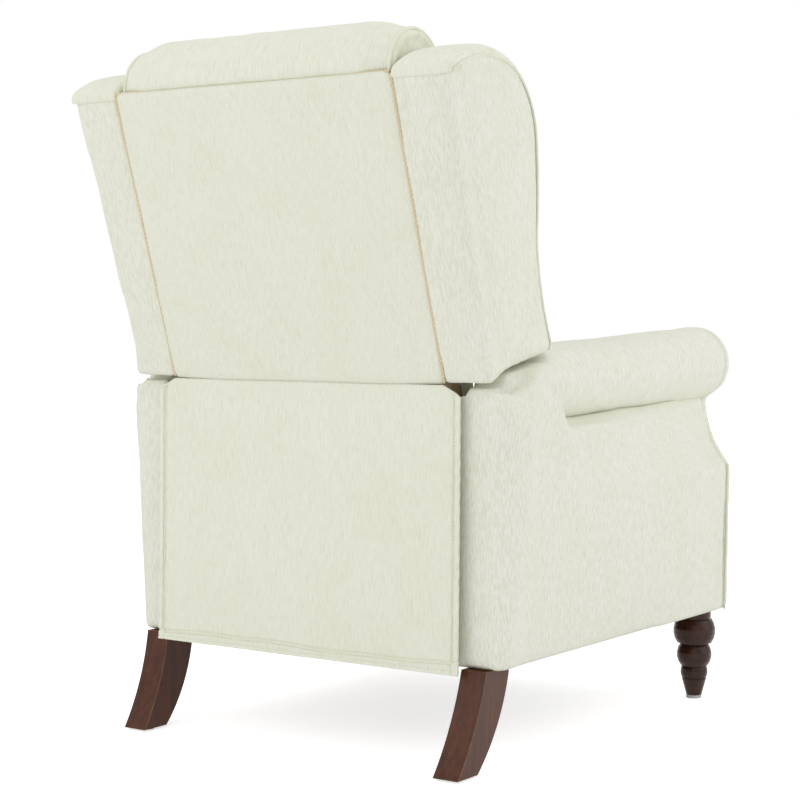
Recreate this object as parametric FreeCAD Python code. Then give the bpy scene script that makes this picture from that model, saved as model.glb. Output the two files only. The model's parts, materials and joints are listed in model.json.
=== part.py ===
import FreeCAD, Part
import math
import os

# Push-back wingback recliner with rolled arms, turned front legs and sabre rear legs.
# Millimetres, +Z up, floor at z = 0. The chair faces -Y, so the sitter's right is -X.
# Heights and depths are set out from the rear face of the rear posts (y = 0) and are
# moved by write() at export, so that the origin lies under the middle of the box.

V = FreeCAD.Vector

# Base and arms
BASE_BOTTOM = 145.0            # height of the arms' lower edge above the floor
ARM_INNER_X = 250.0            # half the width between the arms
BASE_HALF_WIDTH = 332.0        # outer face of an arm at its lower edge, at the rear
SHOULDER_HALF_WIDTH = 355.0    # outer face of an arm at the top of the rear post
POST_TOP = 520.0               # top of the rear post's outer face
ARM_FRONT_Y = -720.0           # front face of the arms
ARM_FACING = 20.0              # padded board on the front of an arm
ARM_PAD = 12.0                 # padding on the inner face of an arm
ARM_BOARD = 22.0               # plywood side of an arm
RAIL_WIDTH = 38.0              # posts and bottom rail of an arm, beside the board
RAIL_HEIGHT = 33.0
POST_DEPTH = 50.0
POST_COVER = 12.0              # padding behind the rear post
FRAME_POST_TOP = 505.0
INNER_PAD_BOTTOM = 345.0       # the mechanism works below this height
INNER_PAD_FRONT_DEPTH = 90.0   # the inner padding reaches the lower edge over this depth
ROLL_FRONT_R = 60.0            # rolled arm at its front
ROLL_FRONT_X = 278.0
ROLL_FRONT_Z = 557.0
ROLL_REAR_R = 57.0             # rolled arm where it meets the shoulder
ROLL_REAR_X = 281.0
ROLL_REAR_Z = 535.0
FRONT_FOOT_X = 337.0           # front panel, outer corner at the lower edge
FLARE_X = 341.0                # front panel, widest point under the neck
FLARE_Z = 389.0
NECK_X = 295.0                 # front panel, where it meets the roll
NECK_SAG = 0.36                # how far the neck curve hangs in, as a share of its width
NECK_BOW = 4.0                 # the side's hollow between the flare and the middle of the neck
SHOULDER_FRONT_TOP = (-109.0, 587.0)
SHOULDER_FRONT_LOW = (-157.0, 480.0)
SHOULDER_ROUND = 18.0          # soft edge along the top of the shoulder
SHOULDER_CROWN = 6.0           # top of the shoulder over the middle of the wing's foot
SHOULDER_RISE = 4.0            # the same at the shoulder's front
POST_ROUND = 14.0              # soft edge down the rear corner of the post
FIT = 0.3                      # clearance between padded pieces
WING_CLEARANCE = 7.0           # gap between a wing and the shoulder under it

# Back, set out on the plane of its rear face
BACK_FOOT = (13.0, 542.0)      # lower edge of the rear panel (y, z)
BACK_LEAN = 17.4               # degrees from upright
BACK_HEIGHT = 440.0            # rear panel, along the lean
PANEL_HALF_WIDTH = 246.0
PANEL_DEPTH = 8.0
STILE_INNER_X = 206.0
STILE_OUTER_X = 238.0
STILE_BACK = 9.0               # rear face of the stiles, behind which the panel lies
STILE_DEPTH = 43.0
STILE_BOTTOM = -168.0          # along the lean, from the foot of the rear panel
STILE_TOP = 430.0
RAIL_DEPTH = 24.0
BACK_RAILS = ((-160.0, 45.0), (130.0, 50.0), (385.0, 45.0))   # start and height
STRAP_THICKNESS = 1.6
BACK_STRAPS = (-70.0, 20.0, 215.0, 295.0)
STRAP_WIDTH = 50.0
BACK_CUSHION_HALF_WIDTH = 242.0
BACK_CUSHION_BOTTOM = -115.0
BACK_CUSHION_FRONT = 138.0     # depth of the crown in front of the rear face
BACK_CUSHION_EDGE = 100.0      # depth where the sides start to round over
BACK_CHIN = 45.0               # rounding at the lower edge, along the lean
BACK_FALL = 7.0                # fall of the crown towards its sides
BACK_SEAM = 165.0              # sewn channel across the cushion, along the lean
BACK_SEAM_DEPTH = 16.0         # how far the two pillows fall towards it
BACK_TOP_FALL = 26.0           # fall of the upper pillow under the head roll
BACK_WAIST_TOP = 12.0          # below this the cushion's front passes between the arms
BACK_WAIST_DEPTH = 88.0
ARM_CLEARANCE = 4.0
HEAD_ROLL_R = 72.0
HEAD_ROLL_Y = 78.0
HEAD_ROLL_TOP = 1040.0
HEAD_ROLL_HALF_WIDTH = 244.0
HEAD_ROLL_ROUND = 6.0          # eased edge round each end

# Wings
WING_INNER_REAR_X = 247.0
WING_INNER_FRONT_X = 276.0
WING_OUTER_LOW_X = 327.0
WING_OUTER_HIGH_X = 337.0
WING_COVER = 9.0               # padded outer panel
WING_BOARD = 18.0
WING_INSET = 12.0              # board inside the wing's outline
WING_BLOCK_DEPTH = 34.0        # block that ties the wing board to the stile
WING_DEPTH = 210.0             # from the rear face to where the inner face stops leaning out
WING_MARGIN = 150.0            # reach of the shaping blocks beyond the wing
WING_REAR_LOW = (13.0, 541.0)
WING_REAR_TOP = (146.0, 964.0)
WING_CROWN = (62.0, 998.0)
WING_BROW = (-27.0, 983.0)
WING_BROW_WAY = (-69.0, 945.0)
WING_CHEEK = (-94.0, 880.0)
WING_CHEEK_WAY = (-100.0, 810.0)
WING_WAIST = (-100.0, 744.0)
WING_WAIST_WAY = (-116.0, 670.0)
WING_TIP = (-146.0, 600.0)
WING_TIP_WAY = (-147.0, 591.0)
WING_FOOT = (-138.0, 585.0)
WING_HEEL = (-27.0, 562.0)
WING_FOOT_BOW = 1.5

# Cloth panel that hangs over the gap under the back
FLAP_OVERLAP = 30.0            # how far it reaches beyond the rear panel on each side
FLAP_TOP = 541.5
FLAP_BOTTOM = 138.0
FLAP_CORNER = 15.0
FLAP_TOP_Y = 14.0
FLAP_BOTTOM_Y = 20.0
FLAP_BOW = 4.5                 # how far the cloth bellies out half way down
FLAP_THICKNESS = 3.0

# Seat
SEAT_RAIL_BOTTOM = 335.0
SEAT_RAIL_HEIGHT = 57.0
SEAT_RAIL_THICKNESS = 28.0
SEAT_FRAME_REAR = -150.0
SEAT_SETBACK = 70.0            # seat frame behind the front of the arms
SEAT_FRAME_FRONT = ARM_FRONT_Y + SEAT_SETBACK
SEAT_STRAPS = 5
CUSHION_HALF_WIDTH = 246.0
CUSHION_OVERHANG = 8.0
CUSHION_FRONT = ARM_FRONT_Y - CUSHION_OVERHANG
CUSHION_TOP = 486.0
CUSHION_EDGE_TOP = 456.0
CUSHION_DOME = 8.0             # fall of the top from the middle to where the sides round over
CUSHION_TUCK = 4.0             # sides drawn in at the lower edge
CUSHION_BULGE = 0.3            # height of the widest place, as a share of the cushion's height
NOSE_BACK = 0.45               # rounded front, as shares of the cushion's height
NOSE_DROP = 0.16
NOSE_MIDDLE = 0.55
CUSHION_CORNER = 30.0          # rounding of the front corners, seen from above
DUST_COVER = 1.5

# Steel mechanism
STEEL = 3.0
LINK_STEEL = 4.0
PLATE_GAP = 2.0                # washers between links
MOUNT_STEEL = 3.2              # base plates
PIN_R = 4.0
PIN_CLEARANCE = 0.05
PIN_SIDES = 12
PIN_HEAD_R = 7.0
PIN_HEAD = 2.0
LINK_HALF_WIDTH = 11.0
CRANK_LENGTH = 100.0
CRANK_LEAN = 40.0              # degrees that a crank leans back at rest
CRANK_FOOT_Z = 200.0
REAR_CRANK_Y = -215.0
FRONT_CRANK_SETBACK = 195.0    # behind the front of the seat frame
FRONT_CRANK_Y = SEAT_FRAME_FRONT + FRONT_CRANK_SETBACK
CRANK_OUTER_X = 256.5
SEAT_RAIL_OUTER_X = 246.5
SEAT_RAIL_FLANGE = 36.0
SEAT_RAIL_EAR_R = 18.0
BACK_PIVOT = (-60.0, 400.0)
BACK_PIN_R = 5.0
BRACKET_HEIGHT = 124.0         # plate that carries the back on its pivot
TORQUE_TUBE_R = 9.0
TORQUE_TUBE_WALL = 2.0
TORQUE_TUBE_ALONG = 35.0       # from the crank's foot
LEVER_TIP = (-200.0, 162.0)
LEVER_X = 180.0
CROSS_TUBE = 25.0
CROSS_TUBE_Y = -332.0
CROSS_TUBE_Z = 171.0
CROSS_TUBE_WALL = 2.0
SPRING_R = 8.0
SPRING_HOOK = 14.0
BASE_PLATE_SETBACK = 120.0     # behind the front of the arms
BASE_PLATE_FRONT = ARM_FRONT_Y + BASE_PLATE_SETBACK
BASE_PLATE_REAR = -150.0
BASE_PLATE_LOW = 165.0
BASE_PLATE_HIGH = 228.0
PLATE_BOLT_R = 3.0
PLATE_BOLT_HEAD_R = 6.0
PLATE_BOLT_LENGTH = 16.0
BOLT_INSET = 40.0              # front bolt, behind the front of the plate
BOLT_BEFORE_TUBE = 63.0        # second bolt, in front of the cross member
PLATE_BOLTS = (
    (BASE_PLATE_FRONT + BOLT_INSET, 180.0),
    (CROSS_TUBE_Y - BOLT_BEFORE_TUBE, 180.0),
    (-270.0, 212.0),
    (-170.0, 180.0),
)

# Footrest linkage, each side: pivots on the seat rail and link lengths
REAR_LINK_SETBACK = 105.0      # pivots, behind the front of the seat frame
FRONT_LINK_SETBACK = 70.0
REAR_LINK_PIVOT = (SEAT_FRAME_FRONT + REAR_LINK_SETBACK, 300.0)
FRONT_LINK_PIVOT = (SEAT_FRAME_FRONT + FRONT_LINK_SETBACK, 318.0)
REAR_LINK = 172.54
REAR_LINK_ANGLE = 211.9        # degrees from straight ahead, turning up
FRONT_LINK_CROSS = 172.84      # from its pivot to where it crosses the long link
FRONT_LINK = 208.57
FRONT_LINK_ANGLE = 214.1
LONG_LINK = 260.0
LONG_LINK_ANGLE = 18.5
LONG_LINK_CROSS = 41.9         # from its rear end to the crossing
DRIVE_LINK = 233.72
DRIVE_LINK_ANGLE = 12.7
CROSS_CLEARANCE = 2.2          # play of the crossing pivot
DRIVE_CLEARANCE = 3.2          # play of the drive link's front pivot
FOOTREST_PIVOT_DROP = 40.0     # bracket, from its upper to its lower pivot
FOOTREST_PIVOT_BACK = 12.0
BRACKET_OVER = 26.0            # bracket above the upper and below the lower pivot
BRACKET_UNDER = 36.0
BRACKET_FLANGE = 24.0
FOOTREST_HALF_WIDTH = 240.0
FOOTREST_TOP = 388.0
FOOTREST_BOTTOM = 172.0
FOOTREST_BOARD = 15.0
FOOTREST_GAP = 10.0            # behind the footrest board, in front of the seat frame
FOOTREST_DEPTH = 62.0
FOOTREST_BACK = SEAT_FRAME_FRONT - FOOTREST_GAP
FOOTREST_FRONT = FOOTREST_BACK - FOOTREST_DEPTH
FOOTREST_WRAP = 5.0
FOOTREST_CROWN = 12.0

# Legs
REAR_LEG_OUTER_X = 314.0
REAR_LEG_WIDTH = 42.0
REAR_LEG_DRIFT = 7.0           # how far the foot stands nearer the middle than the top
REAR_LEG_TOP = (-55.0, 5.0)    # front and rear edge under the arm
REAR_LEG_KNEE = (-34.0, 27.0)
REAR_LEG_FOOT = (17.0, 67.0)
REAR_GLIDE = 3.0
REAR_GLIDE_R = 14.0
FRONT_LEG_X = 302.0
FRONT_LEG_SETBACK = 60.0       # behind the front of the arms
FRONT_LEG_Y = ARM_FRONT_Y + FRONT_LEG_SETBACK
FRONT_GLIDE = 5.0
FRONT_GLIDE_R = 12.6
COLLAR_R = 27.5
BALL_R = 35.0
SECOND_BALL_R = 29.0
RING_R = 22.5
BEAD_CUTS = 5                  # straight cuts that round off each bead
CONE_TOP_R = 20.5
LEG_GROOVES = (13.0, 54.0, 92.0, 112.0)   # drops from the top to the grooves of the turning
LEG_NECK = 2.0                 # height of a groove
LEG_GROOVE = 0.86              # radius in a groove, as a share of its smaller neighbour
LEG_BOLT_R = 4.0
LEG_BOLT_DEPTH = 28.0


def mirrored(shape):
    """The same piece on the other side of the chair."""
    return shape.mirror(V(0, 0, 0), V(1, 0, 0))


def both(shape):
    """A piece and its mirror image."""
    return [shape, mirrored(shape)]


def closed_wire(place, items):
    """Closed wire: a point is a straight run to it, a pair of points is an arc by the first to the second."""
    start = items[0]
    here = place(start)
    edges = []
    for item in list(items[1:]) + [start]:
        if isinstance(item[0], tuple):
            way = place(item[0])
            there = place(item[1])
            edges.append(Part.Arc(here, way, there).toShape())
        else:
            there = place(item)
            if there.distanceToPoint(here) < 1e-6:
                continue
            edges.append(Part.LineSegment(here, there).toShape())
        here = there
    return Part.Wire(edges)


def side_prism(items, x0, x1):
    """An outline in (y, z) carried from x0 to x1."""
    wire = closed_wire(lambda p: V(x0, p[0], p[1]), items)
    return Part.Face(wire).extrude(V(x1 - x0, 0, 0))


def front_prism(items, y0, y1):
    """An outline in (x, z) carried from y0 to y1."""
    wire = closed_wire(lambda p: V(p[0], y0, p[1]), items)
    return Part.Face(wire).extrude(V(0, y1 - y0, 0))


def plan_prism(items, z0, z1):
    """An outline in (x, y) carried from z0 to z1."""
    wire = closed_wire(lambda p: V(p[0], p[1], z0), items)
    return Part.Face(wire).extrude(V(0, 0, z1 - z0))


def box(x0, x1, y0, y1, z0, z1):
    return Part.makeBox(x1 - x0, y1 - y0, z1 - z0, V(x0, y0, z0))


def rod(radius, x0, x1, at):
    """A round bar along X through the point at = (y, z)."""
    return Part.makeCylinder(radius, x1 - x0, V(x0, at[0], at[1]), V(1, 0, 0))


def pin_blank(radius, x0, x1, at):
    """Small hardware along X, inside its true radius: it repeats, so it has few faces."""
    corners = []
    for index in range(PIN_SIDES):
        turn = 2 * math.pi * index / PIN_SIDES
        corners.append((at[0] + radius * math.cos(turn), at[1] + radius * math.sin(turn)))
    return side_prism(corners, x0, x1)


def pin_hole(radius, x0, x1, at):
    """Hole for small hardware, outside its true radius."""
    return pin_blank(radius / math.cos(math.pi / PIN_SIDES), x0, x1, at)


def back_point(along, depth):
    """(y, z) of a point given along the back's lean and forward from its rear face."""
    lean = math.radians(BACK_LEAN)
    y = BACK_FOOT[0] + along * math.sin(lean) - depth * math.cos(lean)
    z = BACK_FOOT[1] + along * math.cos(lean) + depth * math.sin(lean)
    return (y, z)


def back_items(items):
    """Turn (along, depth) outline items into (y, z) items."""
    placed = []
    for item in items:
        if isinstance(item[0], tuple):
            placed.append((back_point(*item[0]), back_point(*item[1])))
        else:
            placed.append(back_point(*item))
    return placed


def back_block(x0, x1, along0, along1, depth0, depth1):
    """A straight block of the back's frame."""
    corners = [(along0, depth0), (along1, depth0), (along1, depth1), (along0, depth1)]
    return side_prism(back_items(corners), x0, x1)


def ahead(start, length, degrees):
    """(y, z) at a length from start, the angle counted from straight ahead and turning up."""
    angle = math.radians(degrees)
    return (start[0] - length * math.cos(angle), start[1] + length * math.sin(angle))


def arm_outer_x(z):
    """Outer face of an arm at the rear, which leans out as it rises."""
    slope = (SHOULDER_HALF_WIDTH - BASE_HALF_WIDTH) / (POST_TOP - BASE_BOTTOM)
    return BASE_HALF_WIDTH + (z - BASE_BOTTOM) * slope


BOARD_INNER_X = ARM_INNER_X + ARM_PAD
BOARD_OUTER_X = BOARD_INNER_X + ARM_BOARD
RAIL_OUTER_X = BOARD_OUTER_X + RAIL_WIDTH
BEHIND_FACING = ARM_FRONT_Y + ARM_FACING
ROLL_FRONT_LOW = ROLL_FRONT_Z - ROLL_FRONT_R
ROLL_REAR_LOW = ROLL_REAR_Z - ROLL_REAR_R


def neck_z():
    """Height at which the front panel's neck meets the roll."""
    offset = NECK_X - ROLL_FRONT_X
    return ROLL_FRONT_Z - math.sqrt(ROLL_FRONT_R ** 2 - offset ** 2)


def neck_way():
    """Middle point of the hollow curve from the flare to the neck."""
    x = (FLARE_X + NECK_X) / 2 - NECK_SAG * (FLARE_X - NECK_X) / 2
    z = (FLARE_Z + neck_z()) / 2 - NECK_SAG * (FLARE_X - NECK_X) / 2
    return (x, z)


def wing_foot_line(drop):
    """The wing's lower edge from its tip to its heel, lowered by drop."""
    way = (0.5 * (WING_FOOT[0] + WING_HEEL[0]), 0.5 * (WING_FOOT[1] + WING_HEEL[1]) + WING_FOOT_BOW)
    return [(p[0], p[1] - drop) for p in (WING_FOOT, way, WING_HEEL, WING_REAR_LOW)]


def arm_facing():
    """Scroll-shaped padded board that closes the front of an arm."""
    inner_dip = math.sqrt(ROLL_FRONT_R ** 2 - (ROLL_FRONT_X - ARM_INNER_X) ** 2)
    items = [
        (ARM_INNER_X, BASE_BOTTOM),
        (FRONT_FOOT_X, BASE_BOTTOM),
        (FLARE_X, FLARE_Z),
        (neck_way(), (NECK_X, neck_z())),
        ((ROLL_FRONT_X + ROLL_FRONT_R, ROLL_FRONT_Z), (ROLL_FRONT_X, ROLL_FRONT_Z + ROLL_FRONT_R)),
        ((ROLL_FRONT_X - ROLL_FRONT_R, ROLL_FRONT_Z), (ARM_INNER_X, ROLL_FRONT_Z - inner_dip)),
    ]
    return front_prism(items, ARM_FRONT_Y, BEHIND_FACING)


def arm_frame_blank():
    """Plywood side with its bottom rail and its front and rear posts, one glued piece."""
    rear = -POST_COVER
    board = side_prism([
        (BEHIND_FACING, BASE_BOTTOM),
        (rear, BASE_BOTTOM),
        (rear, FRAME_POST_TOP),
        (SHOULDER_FRONT_LOW[0] + 2 * POST_COVER, FRAME_POST_TOP),
        (SHOULDER_FRONT_LOW[0], ROLL_REAR_LOW - FIT),
        (BEHIND_FACING, ROLL_FRONT_LOW - FIT),
    ], BOARD_INNER_X, BOARD_OUTER_X)
    bottom = box(BOARD_OUTER_X, RAIL_OUTER_X, BEHIND_FACING, rear, BASE_BOTTOM, BASE_BOTTOM + RAIL_HEIGHT)
    rear_post = box(BOARD_OUTER_X, RAIL_OUTER_X, rear - POST_DEPTH, rear, BASE_BOTTOM, FRAME_POST_TOP)
    front_post = box(BOARD_OUTER_X, RAIL_OUTER_X, BEHIND_FACING, BEHIND_FACING + POST_DEPTH,
                     BASE_BOTTOM, FLARE_Z - POST_COVER)
    return board.fuse([bottom, rear_post, front_post]).removeSplitter()


def arm_frame():
    """Frame of an arm, bored for the leg bolts and the mechanism's bolts."""
    frame = arm_frame_blank()
    for bolt in leg_bolt_places():
        frame = frame.cut(leg_bolt(bolt[0], bolt[1]))
    for at in PLATE_BOLTS:
        frame = frame.cut(pin_blank(PLATE_BOLT_R, BOARD_INNER_X, BOARD_INNER_X + PLATE_BOLT_LENGTH, at))
    return frame.removeSplitter()


def side_section(y, points):
    """Closed section of an arm's outer padding in the plane at y."""
    return Part.makePolygon([V(x, y, z) for x, z in points + points[:1]])


def arm_side():
    """Outer padding from the front panel's hollow outline to the straight shoulder."""
    turn = neck_way()
    front = [
        (BOARD_OUTER_X, BASE_BOTTOM),
        (FRONT_FOOT_X, BASE_BOTTOM),
        (FLARE_X, FLARE_Z),
        ((turn[0] + FLARE_X) / 2 - NECK_BOW, (turn[1] + FLARE_Z) / 2),
        turn,
        (NECK_X, ROLL_FRONT_LOW - FIT),
        (BOARD_OUTER_X, ROLL_FRONT_LOW - FIT),
    ]
    top = ROLL_REAR_LOW - FIT
    heights = [BASE_BOTTOM, FLARE_Z, front[3][1], turn[1], top]
    rear = [(BOARD_OUTER_X, BASE_BOTTOM)] + [(arm_outer_x(z), z) for z in heights] + [(BOARD_OUTER_X, top)]
    start = side_section(BEHIND_FACING, front)
    end = side_section(SHOULDER_FRONT_LOW[0], rear)
    return Part.makeLoft([start, end], True, True)


def shoulder_outline(drop):
    """Rear block of an arm seen from the side, under the wing's lower edge."""
    foot = wing_foot_line(drop)
    heel = foot[2]
    top_front = (SHOULDER_FRONT_TOP[0], foot[1][1] + SHOULDER_RISE)
    return [
        (SHOULDER_FRONT_LOW[0], BASE_BOTTOM),
        (0.0, BASE_BOTTOM),
        (0.0, POST_TOP),
        ((-0.3 * SHOULDER_ROUND, POST_TOP + 0.7 * SHOULDER_ROUND),
         (-SHOULDER_ROUND, POST_TOP + SHOULDER_ROUND)),
        heel,
        top_front,
        SHOULDER_FRONT_LOW,
    ]


def shoulder():
    """Padded block of the rear post, rounded along its top and down its rear corner."""
    top = SHOULDER_FRONT_TOP[1] + SHOULDER_ROUND
    crown = wing_foot_line(WING_CLEARANCE)[1][1] + SHOULDER_CROWN
    edge = arm_outer_x(crown - SHOULDER_ROUND)
    side = side_prism(shoulder_outline(WING_CLEARANCE), BOARD_INNER_X, arm_outer_x(top))
    front = front_prism([
        (BOARD_INNER_X, BASE_BOTTOM),
        (BASE_HALF_WIDTH, BASE_BOTTOM),
        (edge, crown - SHOULDER_ROUND),
        ((edge - 0.3 * SHOULDER_ROUND, crown - 0.3 * SHOULDER_ROUND), (edge - SHOULDER_ROUND, crown)),
        (BOARD_INNER_X, crown),
    ], SHOULDER_FRONT_LOW[0], 0.0)
    widest = arm_outer_x(top)
    plan = plan_prism([
        (BOARD_INNER_X, SHOULDER_FRONT_LOW[0]),
        (widest, SHOULDER_FRONT_LOW[0]),
        (widest, -(widest - BASE_HALF_WIDTH) - POST_ROUND),
        (BASE_HALF_WIDTH - POST_ROUND, 0.0),
        (BOARD_INNER_X, 0.0),
    ], BASE_BOTTOM, top)
    return side.common(front).common(plan).Solids[0]


def arm_shell():
    """Outer padding of an arm: the smooth side and the shoulder, hollowed for the frame."""
    whole = arm_side().fuse(shoulder()).cut(arm_frame_blank())
    return whole.removeSplitter()


def arm_inner_pad():
    """Padding on the inner face of an arm, cut away where the mechanism works and round the rear rail."""
    rise = wing_foot_line(WING_CLEARANCE)
    front_low = BEHIND_FACING + INNER_PAD_FRONT_DEPTH
    post = -POST_COVER - POST_DEPTH
    rail_top = BASE_BOTTOM + 2 * RAIL_HEIGHT + FIT
    items = [
        (BEHIND_FACING, BASE_BOTTOM),
        (front_low, BASE_BOTTOM),
        (front_low, INNER_PAD_BOTTOM),
        (post, INNER_PAD_BOTTOM),
        (post, rail_top),
        (FIT - POST_COVER, rail_top),
        (FIT - POST_COVER, BASE_BOTTOM),
        (0.0, BASE_BOTTOM),
        (0.0, POST_TOP),
        (rise[2][0], rise[2][1]),
        (SHOULDER_FRONT_TOP[0], rise[1][1]),
        (SHOULDER_FRONT_LOW[0], ROLL_REAR_LOW - FIT),
        (BEHIND_FACING, ROLL_FRONT_LOW - FIT),
    ]
    return side_prism(items, ARM_INNER_X, BOARD_INNER_X)


def arm_roll():
    """Rolled top of an arm, a little thicker at the front, that runs up to the shoulder."""
    front = V(ROLL_FRONT_X, BEHIND_FACING, ROLL_FRONT_Z)
    rear = V(ROLL_REAR_X, SHOULDER_FRONT_TOP[0] + SHOULDER_ROUND, ROLL_REAR_Z)
    run = rear - front
    taper = (ROLL_FRONT_R - ROLL_REAR_R) / run.Length
    ahead_of = run * (ARM_FACING / run.Length)
    roll = Part.makeCone(ROLL_FRONT_R + taper * ARM_FACING, ROLL_REAR_R, run.Length + ARM_FACING,
                         front - ahead_of, run)
    facing = box(ARM_INNER_X - ROLL_FRONT_R, FLARE_X + ROLL_FRONT_R, ARM_FRONT_Y - ARM_FACING, BEHIND_FACING,
                 ROLL_FRONT_Z - 2 * ROLL_FRONT_R, ROLL_FRONT_Z + 2 * ROLL_FRONT_R)
    foot = wing_foot_line(WING_CLEARANCE)
    slope = (SHOULDER_FRONT_TOP[0] - SHOULDER_FRONT_LOW[0]) / (SHOULDER_FRONT_TOP[1] - SHOULDER_FRONT_LOW[1])
    reach = 2 * ROLL_REAR_R
    low = (SHOULDER_FRONT_LOW[0] - reach * slope - FIT, SHOULDER_FRONT_LOW[1] - reach)
    high = (SHOULDER_FRONT_TOP[0] + reach * slope - FIT, SHOULDER_FRONT_TOP[1] + reach)
    behind = side_prism([low, high, (reach, high[1]), (reach, low[1])],
                        ROLL_REAR_X - reach, ROLL_REAR_X + reach)
    under_wing = side_prism([
        (WING_TIP[0] - WING_CLEARANCE, high[1]),
        (WING_TIP[0] - WING_CLEARANCE, foot[0][1]),
        (foot[2][0], foot[2][1]),
        (foot[2][0], high[1]),
    ], ROLL_REAR_X - reach, ROLL_REAR_X + reach)
    return roll.cut([facing, behind, under_wing])


def rear_rail():
    """Low rail between the rear posts, behind the mechanism."""
    rear = -POST_COVER
    return box(-BOARD_INNER_X, BOARD_INNER_X, rear - ARM_BOARD, rear,
               BASE_BOTTOM, BASE_BOTTOM + 2 * RAIL_HEIGHT)


def leg_bolt_places():
    """(x, y) of the bolts of one side's front and rear leg."""
    rear_x = REAR_LEG_OUTER_X - REAR_LEG_WIDTH / 2
    rear_y = (REAR_LEG_TOP[0] + REAR_LEG_TOP[1]) / 2
    return [(FRONT_LEG_X, FRONT_LEG_Y), (rear_x, rear_y)]


def leg_bolt(x, y):
    start = V(x, y, BASE_BOTTOM - LEG_BOLT_DEPTH)
    upright = pin_blank(LEG_BOLT_R, 0.0, 2 * LEG_BOLT_DEPTH, (0.0, 0.0))
    upright.rotate(V(0, 0, 0), V(0, 1, 0), -90)
    upright.translate(start)
    return upright


def leg_bolts():
    bolts = []
    for x, y in leg_bolt_places():
        bolts += both(leg_bolt(x, y))
    return bolts


def rear_leg():
    """Sabre leg: swept back in side view and drawn in a little towards the foot."""
    knee = (REAR_GLIDE + BASE_BOTTOM) / 2
    side = side_prism([
        (REAR_LEG_TOP[0], BASE_BOTTOM),
        ((REAR_LEG_KNEE[0], knee), (REAR_LEG_FOOT[0], REAR_GLIDE)),
        (REAR_LEG_FOOT[1], REAR_GLIDE),
        ((REAR_LEG_KNEE[1], knee), (REAR_LEG_TOP[1], BASE_BOTTOM)),
    ], 0.0, REAR_LEG_OUTER_X)
    inner = REAR_LEG_OUTER_X - REAR_LEG_WIDTH
    front = front_prism([
        (inner, BASE_BOTTOM),
        (inner - REAR_LEG_DRIFT, REAR_GLIDE),
        (REAR_LEG_OUTER_X - REAR_LEG_DRIFT, REAR_GLIDE),
        (REAR_LEG_OUTER_X, BASE_BOTTOM),
    ], REAR_LEG_TOP[0], REAR_LEG_FOOT[1])
    x, y = leg_bolt_places()[1]
    return side.common(front).cut(leg_bolt(x, y))


def turned_bead(radius, low, high):
    """Profile of a turned bead between two grooves, in short straight cuts round a centre on the axis."""
    middle = (low + high) / 2
    half = math.asin((high - low) / 2 / radius)
    points = []
    for index in range(BEAD_CUTS + 1):
        turn = half * (2 * index / BEAD_CUTS - 1)
        points.append((radius * math.cos(turn), middle + radius * math.sin(turn)))
    return points


def front_leg():
    """Turned leg: tapered foot, ring, two balls and a collar, with a neck in each groove."""
    profile = [(0.0, FRONT_GLIDE), (FRONT_GLIDE_R, FRONT_GLIDE)]
    grooves = [BASE_BOTTOM - drop for drop in reversed(LEG_GROOVES)] + [BASE_BOTTOM]
    below = CONE_TOP_R
    profile.append((below, grooves[0]))
    for index, radius in enumerate((RING_R, SECOND_BALL_R, BALL_R, COLLAR_R)):
        neck = LEG_GROOVE * min(below, radius)
        low = grooves[index] + LEG_NECK
        profile += [(neck, grooves[index]), (neck, low)] + turned_bead(radius, low, grooves[index + 1])
        below = radius
    profile.append((0.0, BASE_BOTTOM))
    wire = closed_wire(lambda p: V(p[0], 0, p[1]), profile)
    leg = Part.Face(wire).revolve(V(0, 0, 0), V(0, 0, 1), 360)
    leg.translate(V(FRONT_LEG_X, FRONT_LEG_Y, 0))
    return leg.cut(leg_bolt(FRONT_LEG_X, FRONT_LEG_Y))


def glides():
    """Plastic feet nailed under the four legs."""
    rear_x = REAR_LEG_OUTER_X - REAR_LEG_WIDTH / 2 - REAR_LEG_DRIFT
    rear_y = (REAR_LEG_FOOT[0] + REAR_LEG_FOOT[1]) / 2
    front = Part.makeCylinder(FRONT_GLIDE_R, FRONT_GLIDE, V(FRONT_LEG_X, FRONT_LEG_Y, 0))
    rear = Part.makeCylinder(REAR_GLIDE_R, REAR_GLIDE, V(rear_x, rear_y, 0))
    return both(front) + both(rear)


def crank_top(foot_y):
    """(y, z) of a crank's upper pivot at rest."""
    lean = math.radians(CRANK_LEAN)
    return (foot_y + CRANK_LENGTH * math.sin(lean), CRANK_FOOT_Z + CRANK_LENGTH * math.cos(lean))


def on_crank(foot_y, distance):
    """(y, z) of a point on a crank, from its foot."""
    top = crank_top(foot_y)
    share = distance / CRANK_LENGTH
    return (foot_y + (top[0] - foot_y) * share, CRANK_FOOT_Z + (top[1] - CRANK_FOOT_Z) * share)


def flat_link(ends, x0, x1, holes):
    """Steel link with round ends; holes is a list of (point, radius)."""
    a, b = ends
    run = math.hypot(b[0] - a[0], b[1] - a[1])
    side = (-(b[1] - a[1]) / run * LINK_HALF_WIDTH, (b[0] - a[0]) / run * LINK_HALF_WIDTH)
    beyond_a = (a[0] - (b[0] - a[0]) / run * LINK_HALF_WIDTH, a[1] - (b[1] - a[1]) / run * LINK_HALF_WIDTH)
    beyond_b = (b[0] + (b[0] - a[0]) / run * LINK_HALF_WIDTH, b[1] + (b[1] - a[1]) / run * LINK_HALF_WIDTH)
    link = side_prism([
        (a[0] + side[0], a[1] + side[1]),
        (beyond_a, (a[0] - side[0], a[1] - side[1])),
        (b[0] - side[0], b[1] - side[1]),
        (beyond_b, (b[0] + side[0], b[1] + side[1])),
    ], x0, x1)
    for at, radius in holes:
        link = link.cut(pin_hole(radius, x0 - 1, x1 + 1, at))
    return link


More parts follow.
